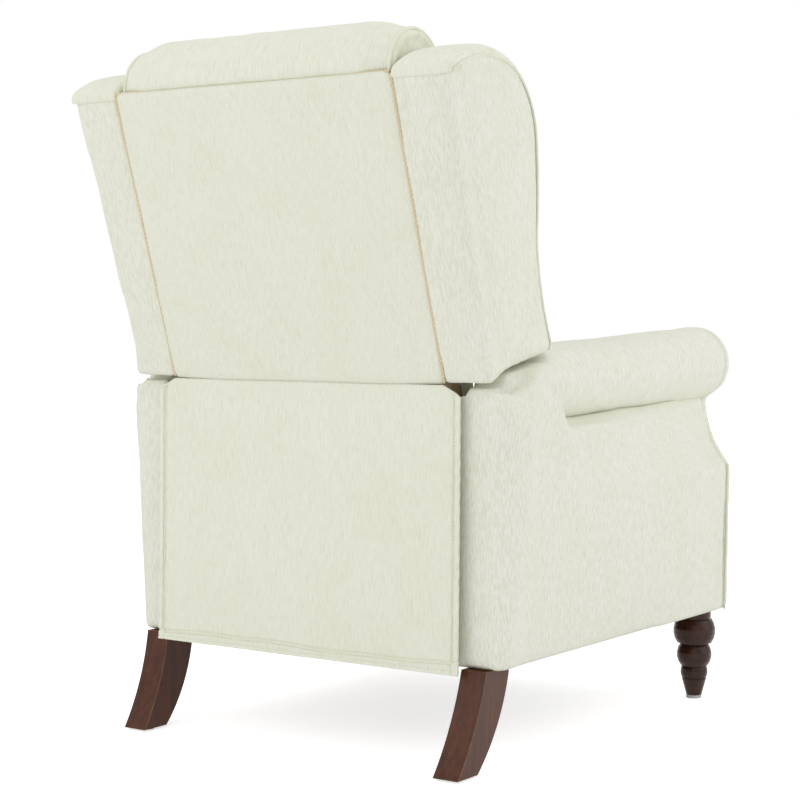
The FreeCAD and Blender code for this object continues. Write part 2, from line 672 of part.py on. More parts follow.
def rivet(at, head_x, tail_x, radius):
    """Pivot rivet: a shank from its head's inner face at head_x to tail_x."""
    outward = 1.0 if head_x > tail_x else -1.0
    low, high = sorted((head_x, tail_x))
    shank = pin_blank(radius, low, high, at)
    head_low, head_high = sorted((head_x, head_x + outward * PIN_HEAD))
    return shank.fuse(pin_blank(radius + PIN_HEAD_R - PIN_R, head_low, head_high, at)).removeSplitter()


RAIL_INNER_X = SEAT_RAIL_OUTER_X - STEEL
PLATE_INNER_X = BOARD_INNER_X - MOUNT_STEEL
CRANK_INNER_X = CRANK_OUTER_X - LINK_STEEL
HOLE_R = PIN_R + PIN_CLEARANCE


def layer(index):
    """Inner and outer x of a footrest link; layer 0 lies beside the seat rail."""
    outer = RAIL_INNER_X - PLATE_GAP - index * (LINK_STEEL + PLATE_GAP)
    return (outer - LINK_STEEL, outer)


def base_plate():
    """Mechanism plate bolted to the inner face of an arm frame."""
    rear_foot = (REAR_CRANK_Y, CRANK_FOOT_Z)
    front_foot = (FRONT_CRANK_Y, CRANK_FOOT_Z)
    corner = STEEL * 3
    plate = side_prism([
        (BASE_PLATE_FRONT, BASE_PLATE_LOW + corner),
        (BASE_PLATE_FRONT + corner, BASE_PLATE_LOW),
        (BASE_PLATE_REAR - corner, BASE_PLATE_LOW),
        (BASE_PLATE_REAR, BASE_PLATE_LOW + corner),
        (BASE_PLATE_REAR, BASE_PLATE_HIGH - corner),
        (BASE_PLATE_REAR - corner, BASE_PLATE_HIGH),
        (BASE_PLATE_FRONT + corner, BASE_PLATE_HIGH),
        (BASE_PLATE_FRONT, BASE_PLATE_HIGH - corner),
    ], PLATE_INNER_X, BOARD_INNER_X)
    for at in (rear_foot, front_foot):
        plate = plate.cut(pin_hole(HOLE_R, PLATE_INNER_X - 1, BOARD_INNER_X + 1, at))
    for at in PLATE_BOLTS:
        plate = plate.cut(pin_hole(PLATE_BOLT_R + PIN_CLEARANCE, PLATE_INNER_X - 1, BOARD_INNER_X + 1, at))
    return plate


def plate_bolts():
    """Bolts through a base plate into the arm frame's board."""
    bolts = []
    for at in PLATE_BOLTS:
        shank = pin_blank(PLATE_BOLT_R, PLATE_INNER_X, BOARD_INNER_X + PLATE_BOLT_LENGTH, at)
        head = pin_blank(PLATE_BOLT_HEAD_R, PLATE_INNER_X - PIN_HEAD, PLATE_INNER_X, at)
        bolts += both(shank.fuse(head).removeSplitter())
    return bolts


def base_pivot_pins():
    """Rivets that carry the cranks on the base plates."""
    pins = []
    for y in (REAR_CRANK_Y, FRONT_CRANK_Y):
        pins += both(rivet((y, CRANK_FOOT_Z), CRANK_INNER_X, BOARD_INNER_X, PIN_R))
    return pins


def cross_member():
    """Square tube that ties the two base plates together."""
    half = CROSS_TUBE / 2
    inner = half - CROSS_TUBE_WALL
    tube = box(-PLATE_INNER_X, PLATE_INNER_X, CROSS_TUBE_Y - half, CROSS_TUBE_Y + half,
               CROSS_TUBE_Z - half, CROSS_TUBE_Z + half)
    bore = box(-PLATE_INNER_X, PLATE_INNER_X, CROSS_TUBE_Y - inner, CROSS_TUBE_Y + inner,
               CROSS_TUBE_Z - inner, CROSS_TUBE_Z + inner)
    return tube.cut(bore)


def crank(foot_y):
    """Swinging link that carries the seat rail."""
    foot = (foot_y, CRANK_FOOT_Z)
    top = crank_top(foot_y)
    return flat_link((foot, top), CRANK_INNER_X, CRANK_OUTER_X, [(foot, HOLE_R), (top, HOLE_R)])


def torque_tube():
    """Tube that makes both rear cranks swing together, with a lever for each spring."""
    at = on_crank(REAR_CRANK_Y, TORQUE_TUBE_ALONG)
    tube = rod(TORQUE_TUBE_R, -CRANK_INNER_X, CRANK_INNER_X, at)
    lever = flat_link((at, LEVER_TIP), LEVER_X - LINK_STEEL / 2, LEVER_X + LINK_STEEL / 2,
                      [(LEVER_TIP, PIN_R)])
    bore = rod(TORQUE_TUBE_R - TORQUE_TUBE_WALL, -CRANK_INNER_X, CRANK_INNER_X, at)
    return tube.fuse(both(lever)).cut(bore).removeSplitter()


def return_springs():
    """Springs that pull the levers towards the cross member."""
    start = CROSS_TUBE_Y + CROSS_TUBE / 2
    end = LEVER_TIP[0] - LINK_HALF_WIDTH - FIT
    level = LEVER_TIP[1]
    body = Part.makeCylinder(SPRING_R, end - start - SPRING_HOOK, V(LEVER_X, start + SPRING_HOOK, level),
                             V(0, 1, 0))
    hook = Part.makeCylinder(STEEL / 2, SPRING_HOOK, V(LEVER_X, start, level), V(0, 1, 0))
    return both(body.fuse(hook).removeSplitter())


def seat_rail():
    """Pressed steel angle under the seat, with an upright ear for the back's pivot."""
    ear_r = SEAT_RAIL_EAR_R
    top = SEAT_RAIL_BOTTOM
    web_low = crank_top(REAR_CRANK_Y)[1] - PIN_HEAD_R - PLATE_GAP * 3
    pivot = BACK_PIVOT
    web = side_prism([
        (SEAT_FRAME_FRONT, top),
        (SEAT_FRAME_FRONT, FRONT_LINK_PIVOT[1] - ear_r),
        (REAR_LINK_PIVOT[0] - ear_r, REAR_LINK_PIVOT[1] - ear_r),
        (REAR_LINK_PIVOT[0] + ear_r, web_low),
        (crank_top(REAR_CRANK_Y)[0] + ear_r, web_low),
        (pivot[0] + ear_r, pivot[1] - ear_r),
        (pivot[0] + ear_r, pivot[1]),
        ((pivot[0], pivot[1] + ear_r), (pivot[0] - ear_r, pivot[1])),
        (SEAT_FRAME_REAR, top),
    ], RAIL_INNER_X, SEAT_RAIL_OUTER_X)
    flange = box(RAIL_INNER_X - SEAT_RAIL_FLANGE, RAIL_INNER_X, SEAT_FRAME_FRONT, SEAT_FRAME_REAR,
                 top - STEEL, top)
    rail = web.fuse(flange)
    holes = [(REAR_LINK_PIVOT, HOLE_R), (FRONT_LINK_PIVOT, HOLE_R), (pivot, BACK_PIN_R + PIN_CLEARANCE)]
    for y in (REAR_CRANK_Y, FRONT_CRANK_Y):
        holes.append((crank_top(y), HOLE_R))
    for at, radius in holes:
        rail = rail.cut(pin_hole(radius, RAIL_INNER_X - 1, SEAT_RAIL_OUTER_X + 1, at))
    return rail.removeSplitter()


def seat_pivot_pins():
    """Rivets held by the seat rails: crank tops, footrest links and the back's pivot."""
    pins = []
    for y in (REAR_CRANK_Y, FRONT_CRANK_Y):
        at = crank_top(y)
        spacer = pin_blank(PIN_HEAD_R, SEAT_RAIL_OUTER_X, CRANK_INNER_X, at)
        pins += both(rivet(at, CRANK_OUTER_X, RAIL_INNER_X, PIN_R).fuse(spacer).removeSplitter())
    for at, level in ((REAR_LINK_PIVOT, 0), (FRONT_LINK_PIVOT, 2)):
        inner, outer = layer(level)
        spacer = pin_blank(PIN_HEAD_R, outer, RAIL_INNER_X, at)
        pins += both(rivet(at, inner, SEAT_RAIL_OUTER_X, PIN_R).fuse(spacer).removeSplitter())
    bracket_inner = STILE_OUTER_X + FIT
    spacer = pin_blank(BACK_PIN_R + STEEL, bracket_inner + STEEL, RAIL_INNER_X, BACK_PIVOT)
    pin = rivet(BACK_PIVOT, SEAT_RAIL_OUTER_X, bracket_inner, BACK_PIN_R).fuse(spacer)
    pins += both(pin.removeSplitter())
    return pins


def seat_side_rail():
    outer = RAIL_INNER_X - SEAT_RAIL_FLANGE + SEAT_RAIL_THICKNESS
    return box(outer - SEAT_RAIL_THICKNESS, outer, SEAT_FRAME_FRONT, SEAT_FRAME_REAR,
               SEAT_RAIL_BOTTOM, SEAT_RAIL_BOTTOM + SEAT_RAIL_HEIGHT)


def seat_cross_rails():
    """Front and rear rail between the side rails."""
    half = RAIL_INNER_X - SEAT_RAIL_FLANGE
    top = SEAT_RAIL_BOTTOM + SEAT_RAIL_HEIGHT
    front = box(-half, half, SEAT_FRAME_FRONT, SEAT_FRAME_FRONT + SEAT_RAIL_THICKNESS, SEAT_RAIL_BOTTOM, top)
    rear = box(-half, half, SEAT_FRAME_REAR - SEAT_RAIL_THICKNESS, SEAT_FRAME_REAR, SEAT_RAIL_BOTTOM, top)
    return [front, rear]


def seat_straps():
    """Elastic webbing stapled across the front and rear rails."""
    half = RAIL_INNER_X - SEAT_RAIL_FLANGE
    top = SEAT_RAIL_BOTTOM + SEAT_RAIL_HEIGHT
    pitch = 2 * half / SEAT_STRAPS
    straps = []
    for index in range(SEAT_STRAPS):
        centre = -half + pitch * (index + 0.5)
        straps.append(box(centre - STRAP_WIDTH / 2, centre + STRAP_WIDTH / 2,
                          SEAT_FRAME_FRONT, SEAT_FRAME_REAR, top, top + STRAP_THICKNESS))
    return straps


def seat_dust_cover():
    half = RAIL_INNER_X - SEAT_RAIL_FLANGE - FIT
    return box(-half, half, SEAT_FRAME_FRONT, SEAT_FRAME_REAR,
               SEAT_RAIL_BOTTOM - DUST_COVER, SEAT_RAIL_BOTTOM)


def seat_cushion():
    """Crowned cushion with a rounded front that laps over the footrest."""
    low = SEAT_RAIL_BOTTOM + SEAT_RAIL_HEIGHT + STRAP_THICKNESS + FIT
    rear = SEAT_FRAME_REAR - FIT
    nose = CUSHION_TOP - low
    half = CUSHION_HALF_WIDTH
    bulge_z = low + CUSHION_BULGE * nose
    side = side_prism([
        (rear, low),
        (rear, CUSHION_EDGE_TOP),
        (((rear + CUSHION_FRONT) / 2, CUSHION_TOP),
         (CUSHION_FRONT + NOSE_BACK * nose, CUSHION_TOP - NOSE_DROP * nose)),
        ((CUSHION_FRONT, CUSHION_TOP - NOSE_MIDDLE * nose), (CUSHION_FRONT + NOSE_DROP * nose, low)),
    ], -half, half)
    brow = (half - NOSE_DROP * nose, CUSHION_EDGE_TOP)
    crest = (half - nose, CUSHION_TOP - CUSHION_DOME)
    waist = (half - CUSHION_TUCK / 2, low + nose / 2)
    across = front_prism([
        (-half + CUSHION_TUCK, low),
        ((-half, bulge_z), (-waist[0], waist[1])),
        ((-brow[0], brow[1]), (-crest[0], crest[1])),
        ((0.0, CUSHION_TOP), crest),
        (brow, waist),
        ((half, bulge_z), (half - CUSHION_TUCK, low)),
    ], CUSHION_FRONT - nose, rear + nose)
    corner = CUSHION_CORNER
    front = CUSHION_FRONT
    bend = (half - 0.3 * corner, front + 0.3 * corner)
    plan = plan_prism([
        (-half, rear + nose),
        (-half, front + corner),
        ((-bend[0], bend[1]), (-half + corner, front)),
        (half - corner, front),
        (bend, (half, front + corner)),
        (half, rear + nose),
    ], low - nose, CUSHION_TOP + nose)
    return side.common(across).common(plan)


def back_stile():
    return back_block(STILE_INNER_X, STILE_OUTER_X, STILE_BOTTOM, STILE_TOP,
                      STILE_BACK, STILE_BACK + STILE_DEPTH)


def back_rails():
    """Cross rails between the stiles."""
    rails = []
    for start, height in BACK_RAILS:
        rails.append(back_block(-STILE_INNER_X, STILE_INNER_X, start, start + height,
                                STILE_BACK, STILE_BACK + RAIL_DEPTH))
    return rails


def back_straps():
    """Elastic webbing across the front of the stiles."""
    face = STILE_BACK + STILE_DEPTH
    straps = []
    for start in BACK_STRAPS:
        straps.append(back_block(-STILE_OUTER_X, STILE_OUTER_X, start, start + STRAP_WIDTH,
                                 face, face + STRAP_THICKNESS))
    return straps


def head_roll_centre():
    return (HEAD_ROLL_Y, HEAD_ROLL_TOP - HEAD_ROLL_R)


def panel_zone(margin):
    """Space of the rear panel, grown by a margin."""
    return back_block(-PANEL_HALF_WIDTH - margin, PANEL_HALF_WIDTH + margin, -margin, BACK_HEIGHT + margin,
                      -2 * HEAD_ROLL_R, PANEL_DEPTH + margin)


def head_roll(frame):
    """Pillow over the top of the back, cut round the frame inside it and the panel behind it."""
    roll = rod(HEAD_ROLL_R, -HEAD_ROLL_HALF_WIDTH, HEAD_ROLL_HALF_WIDTH, head_roll_centre())
    roll = roll.makeChamfer(HEAD_ROLL_ROUND, [e for e in roll.Edges if e.Curve.TypeId == "Part::GeomCircle"])
    return roll.cut(panel_zone(FIT)).cut(frame).removeSplitter()


def rear_panel():
    """Padded outside back between the wings."""
    return back_block(-PANEL_HALF_WIDTH, PANEL_HALF_WIDTH, 0.0, BACK_HEIGHT, 1.0, PANEL_DEPTH)


def back_plane(along):
    """Placer for (x, depth) points in a section square to the back at a height along it."""
    def place(point):
        y, z = back_point(along, point[1])
        return V(point[0], y, z)
    return place


def along_back(place, items, length):
    """An outline in (x, depth) carried up the back."""
    lean = math.radians(BACK_LEAN)
    up = V(0, length * math.sin(lean), length * math.cos(lean))
    return Part.Face(closed_wire(place, items)).extrude(up)


def back_cushion_side(rear, top):
    """The inside back seen from the side."""
    low = BACK_CUSHION_BOTTOM
    front = BACK_CUSHION_FRONT
    chin = ((low + BACK_CHIN / 4, BACK_CUSHION_EDGE + BACK_CHIN / 2), (low + BACK_CHIN, front - BACK_FALL))
    seam = front - BACK_SEAM_DEPTH
    lumbar = (low + BACK_CHIN + BACK_SEAM) / 2
    shoulders = (BACK_SEAM + top) / 2
    return side_prism(back_items([
        (low, rear),
        (low, BACK_CUSHION_EDGE),
        chin,
        ((lumbar, front), (BACK_SEAM, seam)),
        ((shoulders, front), (top, front - BACK_TOP_FALL)),
        (top, rear),
    ]), -BACK_CUSHION_HALF_WIDTH, BACK_CUSHION_HALF_WIDTH)


def back_cushion_across(rear, top):
    """The inside back seen from above, rounded over towards the wings."""
    half = BACK_CUSHION_HALF_WIDTH
    deep = BACK_CUSHION_FRONT - BACK_CUSHION_EDGE
    bend = (half - 0.3 * deep, BACK_CUSHION_EDGE + 0.7 * deep)
    crest = (half - 1.6 * deep, BACK_CUSHION_FRONT - BACK_FALL / 2)
    plan = [
        (-half, rear),
        (-half, BACK_CUSHION_EDGE),
        ((-bend[0], bend[1]), (-crest[0], crest[1])),
        ((0.0, BACK_CUSHION_FRONT), crest),
        (bend, (half, BACK_CUSHION_EDGE)),
        (half, rear),
    ]
    return along_back(back_plane(BACK_CUSHION_BOTTOM), plan, top - BACK_CUSHION_BOTTOM)


def back_cushion():
    """Inside back: crowned, narrower between the arms, with one sewn channel across."""
    rear = STILE_BACK + STILE_DEPTH + STRAP_THICKNESS + FIT
    centre = head_roll_centre()
    lean = math.radians(BACK_LEAN)
    roll_along = (centre[0] - BACK_FOOT[0]) * math.sin(lean) + (centre[1] - BACK_FOOT[1]) * math.cos(lean)
    top = roll_along - BACK_CHIN
    cushion = back_cushion_side(rear, top).common(back_cushion_across(rear, top))
    half = BACK_CUSHION_HALF_WIDTH
    cushion = cushion.cut(rod(HEAD_ROLL_R + FIT, -half, half, centre))
    between_arms = ROLL_FRONT_X - ROLL_FRONT_R - ARM_CLEARANCE
    beside = back_block(between_arms, half, BACK_CUSHION_BOTTOM, BACK_WAIST_TOP,
                        BACK_WAIST_DEPTH, BACK_CUSHION_FRONT)
    return cushion.cut(both(beside))


def wing_items():
    """Wing seen from the side."""
    foot = wing_foot_line(0.0)
    return [
        WING_REAR_LOW,
        WING_REAR_TOP,
        (WING_CROWN, WING_BROW),
        (WING_BROW_WAY, WING_CHEEK),
        (WING_CHEEK_WAY, WING_WAIST),
        (WING_WAIST_WAY, WING_TIP),
        (WING_TIP_WAY, WING_FOOT),
        (foot[1], WING_HEEL),
    ]


def wing_zone(inner_gap, outer_gap):
    """Space between a wing's inner and outer faces, both of which lean."""
    low = BACK_FOOT[1] - WING_MARGIN
    rise = (WING_OUTER_HIGH_X - WING_OUTER_LOW_X) / (WING_REAR_TOP[1] - WING_REAR_LOW[1])
    low_x = WING_OUTER_LOW_X + (low - WING_REAR_LOW[1]) * rise - outer_gap
    high_x = WING_OUTER_LOW_X + (HEAD_ROLL_TOP - WING_REAR_LOW[1]) * rise - outer_gap
    outer = front_prism([(0.0, low), (low_x, low), (high_x, HEAD_ROLL_TOP), (0.0, HEAD_ROLL_TOP)],
                        WING_FOOT[0] - WING_MARGIN, WING_REAR_TOP[0] + WING_MARGIN)
    rear_x = WING_INNER_REAR_X + inner_gap
    front_x = WING_INNER_FRONT_X + inner_gap
    beyond = WING_DEPTH + WING_MARGIN
    beside = WING_OUTER_HIGH_X + WING_MARGIN
    inner = along_back(back_plane(-WING_MARGIN), [
        (rear_x, -WING_MARGIN),
        (rear_x, STILE_BACK + STILE_DEPTH),
        (front_x, WING_DEPTH),
        (front_x, beyond),
        (beside, beyond),
        (beside, -WING_MARGIN),
    ], BACK_HEIGHT + 2 * WING_MARGIN)
    return outer.common(inner)


def wing_block():
    """Wood block from the stile to the wing board."""
    outer = WING_OUTER_LOW_X - WING_COVER - WING_BOARD
    return back_block(STILE_OUTER_X, outer, WING_INSET * 3, BACK_HEIGHT - WING_INSET * 8,
                      STILE_BACK, STILE_BACK + WING_BLOCK_DEPTH)


def wing_frame():
    """Plywood wing with the block that ties it to the stile."""
    outer = WING_OUTER_LOW_X - WING_COVER
    outline = side_prism(wing_items(), outer - WING_BOARD, outer)
    centre = outline.BoundBox.Center
    depth = outline.BoundBox.YLength
    height = outline.BoundBox.ZLength
    scale = FreeCAD.Matrix()
    scale.move(V(0, -centre.y, -centre.z))
    scale.scale(V(1, 1 - 2 * WING_INSET / depth, 1 - 2 * WING_INSET / height))
    scale.move(V(0, centre.y, centre.z))
    board = outline.transformGeometry(scale)
    return board.fuse(wing_block()).removeSplitter()


def wing_cover():
    """Padded outer panel of a wing."""
    body = side_prism(wing_items(), WING_INNER_REAR_X, WING_OUTER_HIGH_X * 1.1)
    return body.common(wing_zone(0.0, 0.0)).cut(wing_zone(-WING_INNER_REAR_X, WING_COVER))


def wing_pad(frame):
    """Padding round the wing board, from its rear face to its front edge."""
    body = side_prism(wing_items(), WING_INNER_REAR_X, WING_OUTER_HIGH_X * 1.1)
    return body.common(wing_zone(0.0, WING_COVER)).cut(frame).removeSplitter()


def back_bracket():
    """Steel plate on a stile that hangs on the seat rail's ear."""
    inner = STILE_OUTER_X + FIT
    low = STILE_BOTTOM + STEEL
    rear = STILE_BACK + STEEL
    front = STILE_BACK + STILE_DEPTH - STEEL
    plate = side_prism(back_items([
        (low, rear),
        (low + BRACKET_HEIGHT, rear),
        (low + BRACKET_HEIGHT, front - 3 * STEEL),
        (low + BRACKET_HEIGHT / 2, front),
        (low, front),
    ]), inner, inner + STEEL)
    return plate.cut(pin_hole(BACK_PIN_R + PIN_CLEARANCE, inner, RAIL_INNER_X, BACK_PIVOT))


def rear_flap():
    """Cloth sewn under the back that hangs freely over the gap between the posts."""
    half = FLAP_THICKNESS / 2
    flap_half = PANEL_HALF_WIDTH + FLAP_OVERLAP
    middle = ((FLAP_TOP_Y + FLAP_BOTTOM_Y) / 2 + FLAP_BOW, (FLAP_TOP + FLAP_BOTTOM) / 2)
    side = side_prism([
        (FLAP_BOTTOM_Y - half, FLAP_BOTTOM),
        (FLAP_BOTTOM_Y + half, FLAP_BOTTOM),
        ((middle[0] + half, middle[1]), (FLAP_TOP_Y + half, FLAP_TOP)),
        (FLAP_TOP_Y - half, FLAP_TOP),
        ((middle[0] - half, middle[1]), (FLAP_BOTTOM_Y - half, FLAP_BOTTOM)),
    ], -flap_half, flap_half)
    front = front_prism([
        (-flap_half, FLAP_BOTTOM),
        (flap_half, FLAP_BOTTOM),
        (flap_half, FLAP_TOP - FLAP_CORNER),
        (PANEL_HALF_WIDTH, FLAP_TOP),
        (-PANEL_HALF_WIDTH, FLAP_TOP),
        (-flap_half, FLAP_TOP - FLAP_CORNER),
    ], -POST_DEPTH, 3 * POST_DEPTH)
    return side.common(front)


REAR_LINK_END = ahead(REAR_LINK_PIVOT, REAR_LINK, REAR_LINK_ANGLE)
FRONT_LINK_MID = ahead(FRONT_LINK_PIVOT, FRONT_LINK_CROSS, FRONT_LINK_ANGLE)
FRONT_LINK_END = ahead(FRONT_LINK_PIVOT, FRONT_LINK, FRONT_LINK_ANGLE)
LONG_LINK_MID = ahead(REAR_LINK_END, LONG_LINK_CROSS, LONG_LINK_ANGLE)
LONG_LINK_END = ahead(REAR_LINK_END, LONG_LINK, LONG_LINK_ANGLE)
DRIVE_LINK_END = ahead(FRONT_LINK_END, DRIVE_LINK, DRIVE_LINK_ANGLE)
BRACKET_LOW_PIVOT = (LONG_LINK_END[0] + FOOTREST_PIVOT_BACK, LONG_LINK_END[1] - FOOTREST_PIVOT_DROP)


def rear_links():
    inner, outer = layer(0)
    link = flat_link((REAR_LINK_PIVOT, REAR_LINK_END), inner, outer,
                     [(REAR_LINK_PIVOT, HOLE_R), (REAR_LINK_END, HOLE_R)])
    return both(link)


def long_links():
    inner, outer = layer(1)
    holes = [(REAR_LINK_END, HOLE_R), (LONG_LINK_MID, PIN_R + CROSS_CLEARANCE), (LONG_LINK_END, HOLE_R)]
    return both(flat_link((REAR_LINK_END, LONG_LINK_END), inner, outer, holes))


def front_links():
    inner, outer = layer(2)
    link = flat_link((FRONT_LINK_PIVOT, FRONT_LINK_END), inner, outer,
                     [(FRONT_LINK_PIVOT, HOLE_R), (FRONT_LINK_MID, HOLE_R), (FRONT_LINK_END, HOLE_R)])
    return both(link)


def drive_links():
    inner, outer = layer(3)
    link = flat_link((FRONT_LINK_END, DRIVE_LINK_END), inner, outer,
                     [(FRONT_LINK_END, HOLE_R), (DRIVE_LINK_END, PIN_R + DRIVE_CLEARANCE)])
    return both(link)


def rear_link_pins():
    """Rivets at the rear links' lower ends, which carry the long links."""
    return both(rivet(REAR_LINK_END, layer(0)[1], layer(1)[0], PIN_R))


def front_link_pins():
    """Rivets of the front links: the crossing with the long link and the drive link's rear end."""
    crossing = rivet(FRONT_LINK_MID, layer(2)[0], layer(1)[1], PIN_R)
    end = rivet(FRONT_LINK_END, layer(2)[1], layer(3)[0], PIN_R)
    return both(crossing) + both(end)


def footrest_pins():
    """Rivets in the footrest brackets."""
    upper = rivet(LONG_LINK_END, layer(2)[0], layer(1)[1], PIN_R)
    lower = rivet(BRACKET_LOW_PIVOT, layer(2)[1], layer(3)[0], PIN_R)
    return both(upper) + both(lower)


def footrest_bracket():
    """Steel angle that carries the footrest board on its two pivots."""
    inner, outer = layer(2)
    top = LONG_LINK_END[1] + BRACKET_OVER
    low = BRACKET_LOW_PIVOT[1] - BRACKET_UNDER
    web = side_prism([
        (FOOTREST_BACK, top),
        (FOOTREST_BACK, low),
        (BRACKET_LOW_PIVOT[0] + LINK_HALF_WIDTH, BRACKET_LOW_PIVOT[1] - LINK_HALF_WIDTH),
        (BRACKET_LOW_PIVOT[0] + LINK_HALF_WIDTH, BRACKET_LOW_PIVOT[1] + LINK_HALF_WIDTH),
        (LONG_LINK_END[0] + LINK_HALF_WIDTH, LONG_LINK_END[1] + LINK_HALF_WIDTH),
    ], inner, outer)
    foot = box(inner - BRACKET_FLANGE, inner, FOOTREST_BACK, FOOTREST_BACK + STEEL, low, top)
    plate = web.fuse(foot)
    for at in (LONG_LINK_END, BRACKET_LOW_PIVOT):
        plate = plate.cut(pin_hole(HOLE_R, inner - 1, outer + 1, at))
    return plate.removeSplitter()


def footrest_board():
    half = FOOTREST_HALF_WIDTH - FOOTREST_WRAP
    return box(-half, half, FOOTREST_BACK - FOOTREST_BOARD, FOOTREST_BACK,
               FOOTREST_BOTTOM + FOOTREST_WRAP, FOOTREST_TOP - FOOTREST_WRAP)


def footrest_pad(board):
    """Padded front of the footrest, crowned and wrapped round the board's edges."""
    half = FOOTREST_HALF_WIDTH
    edge = FOOTREST_FRONT + FOOTREST_CROWN
    middle = (FOOTREST_TOP + FOOTREST_BOTTOM) / 2
    side = side_prism([
        (FOOTREST_BACK, FOOTREST_BOTTOM),
        (FOOTREST_BACK, FOOTREST_TOP),
        (edge, FOOTREST_TOP),
        ((FOOTREST_FRONT, middle), (edge, FOOTREST_BOTTOM)),
    ], -half, half)
    plan = plan_prism([
        (-half, FOOTREST_BACK),
        (-half, edge),
        ((0.0, FOOTREST_FRONT), (half, edge)),
        (half, FOOTREST_BACK),
    ], FOOTREST_BOTTOM, FOOTREST_TOP)
    return side.common(plan).cut(board)


def save(pieces, name, solids):
    """Keep one named piece, or a group of like pieces, for writing."""
    if not isinstance(solids, list):
        solids = [solids]
    kept = []
    for solid in solids:
        kept += solid.Solids
    for body in kept:
        if not body.isValid():
            raise ValueError("piece is not a sound solid: " + name)
    pieces[name] = kept


def save_pair(pieces, name, piece):
    """Keep a piece that exists once on each side; the modelled one is on +X."""
    save(pieces, name + "_left", piece)
    save(pieces, name + "_right", mirrored(piece))


def build_base(pieces):
    save_pair(pieces, "arm_frame", arm_frame())
    save_pair(pieces, "arm_shell", arm_shell())
    save_pair(pieces, "arm_inner_pad", arm_inner_pad())
    save_pair(pieces, "arm_roll", arm_roll())
    save_pair(pieces, "arm_facing", arm_facing())
    save_pair(pieces, "front_leg", front_leg())
    save_pair(pieces, "rear_leg", rear_leg())
    save(pieces, "glides", glides())
    save(pieces, "leg_bolts", leg_bolts())
    save(pieces, "rear_rail", rear_rail())
    save(pieces, "base_plates", both(base_plate()))
    save(pieces, "base_plate_bolts", plate_bolts())
    save(pieces, "base_pivot_pins", base_pivot_pins())
    save(pieces, "cross_member", cross_member())
    save(pieces, "return_springs", return_springs())


def build_seat(pieces):
    save(pieces, "rear_cranks", both(crank(REAR_CRANK_Y)))
    save(pieces, "torque_tube", torque_tube())
    save(pieces, "front_cranks", both(crank(FRONT_CRANK_Y)))
    save(pieces, "seat_rails", both(seat_rail()))
    save(pieces, "seat_pivot_pins", seat_pivot_pins())
    save(pieces, "seat_side_rails", both(seat_side_rail()))
    save(pieces, "seat_cross_rails", seat_cross_rails())
    save(pieces, "seat_straps", seat_straps())
    save(pieces, "seat_dust_cover", seat_dust_cover())
    save(pieces, "seat_cushion", seat_cushion())


def build_back(pieces):
    stiles = both(back_stile())
    rails = back_rails()
    save(pieces, "back_stiles", stiles)
    save(pieces, "back_rails", rails)
    save(pieces, "back_straps", back_straps())
    save(pieces, "back_brackets", both(back_bracket()))
    save(pieces, "rear_panel", rear_panel())
    save(pieces, "head_roll", head_roll(stiles[0].fuse([stiles[1]] + rails)))
    save(pieces, "back_cushion", back_cushion())
    frame = wing_frame()
    save_pair(pieces, "wing_frame", frame)
    save_pair(pieces, "wing_cover", wing_cover())
    save_pair(pieces, "wing_pad", wing_pad(frame))
    save(pieces, "rear_flap", rear_flap())


def build_footrest(pieces):
    save(pieces, "footrest_rear_links", rear_links())
    save(pieces, "footrest_rear_link_pins", rear_link_pins())
    save(pieces, "footrest_long_links", long_links())
    save(pieces, "footrest_front_links", front_links())
    save(pieces, "footrest_front_link_pins", front_link_pins())
    save(pieces, "footrest_drive_links", drive_links())
    save(pieces, "footrest_brackets", both(footrest_bracket()))
    save(pieces, "footrest_bracket_pins", footrest_pins())
    board = footrest_board()
    save(pieces, "footrest_board", board)
    save(pieces, "footrest_pad", footrest_pad(board))


def write(pieces):
    """Bring the middle of the chair's box over the origin and write every piece."""
    boxes = [solid.optimalBoundingBox(True, False) for solids in pieces.values() for solid in solids]
    shift = -(max(b.YMax for b in boxes) + min(b.YMin for b in boxes)) / 2
    print("shift along Y", round(shift, 4))
    for name, solids in pieces.items():
        for solid in solids:
            solid.translate(V(0, shift, 0))
        shape = solids[0] if len(solids) == 1 else Part.makeCompound(solids)
        shape.exportStep("parts/" + name + ".step")
        print(name, len(solids), round(shape.Volume / 1000.0, 1), "cm3")


def main():
    os.makedirs("parts", exist_ok=True)
    pieces = {}
    build_base(pieces)
    build_seat(pieces)
    build_back(pieces)
    build_footrest(pieces)
    write(pieces)


main()
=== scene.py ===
"""Looks of the wingback recliner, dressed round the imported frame. Metres, +Z up, the chair faces -Y."""

import json
import math

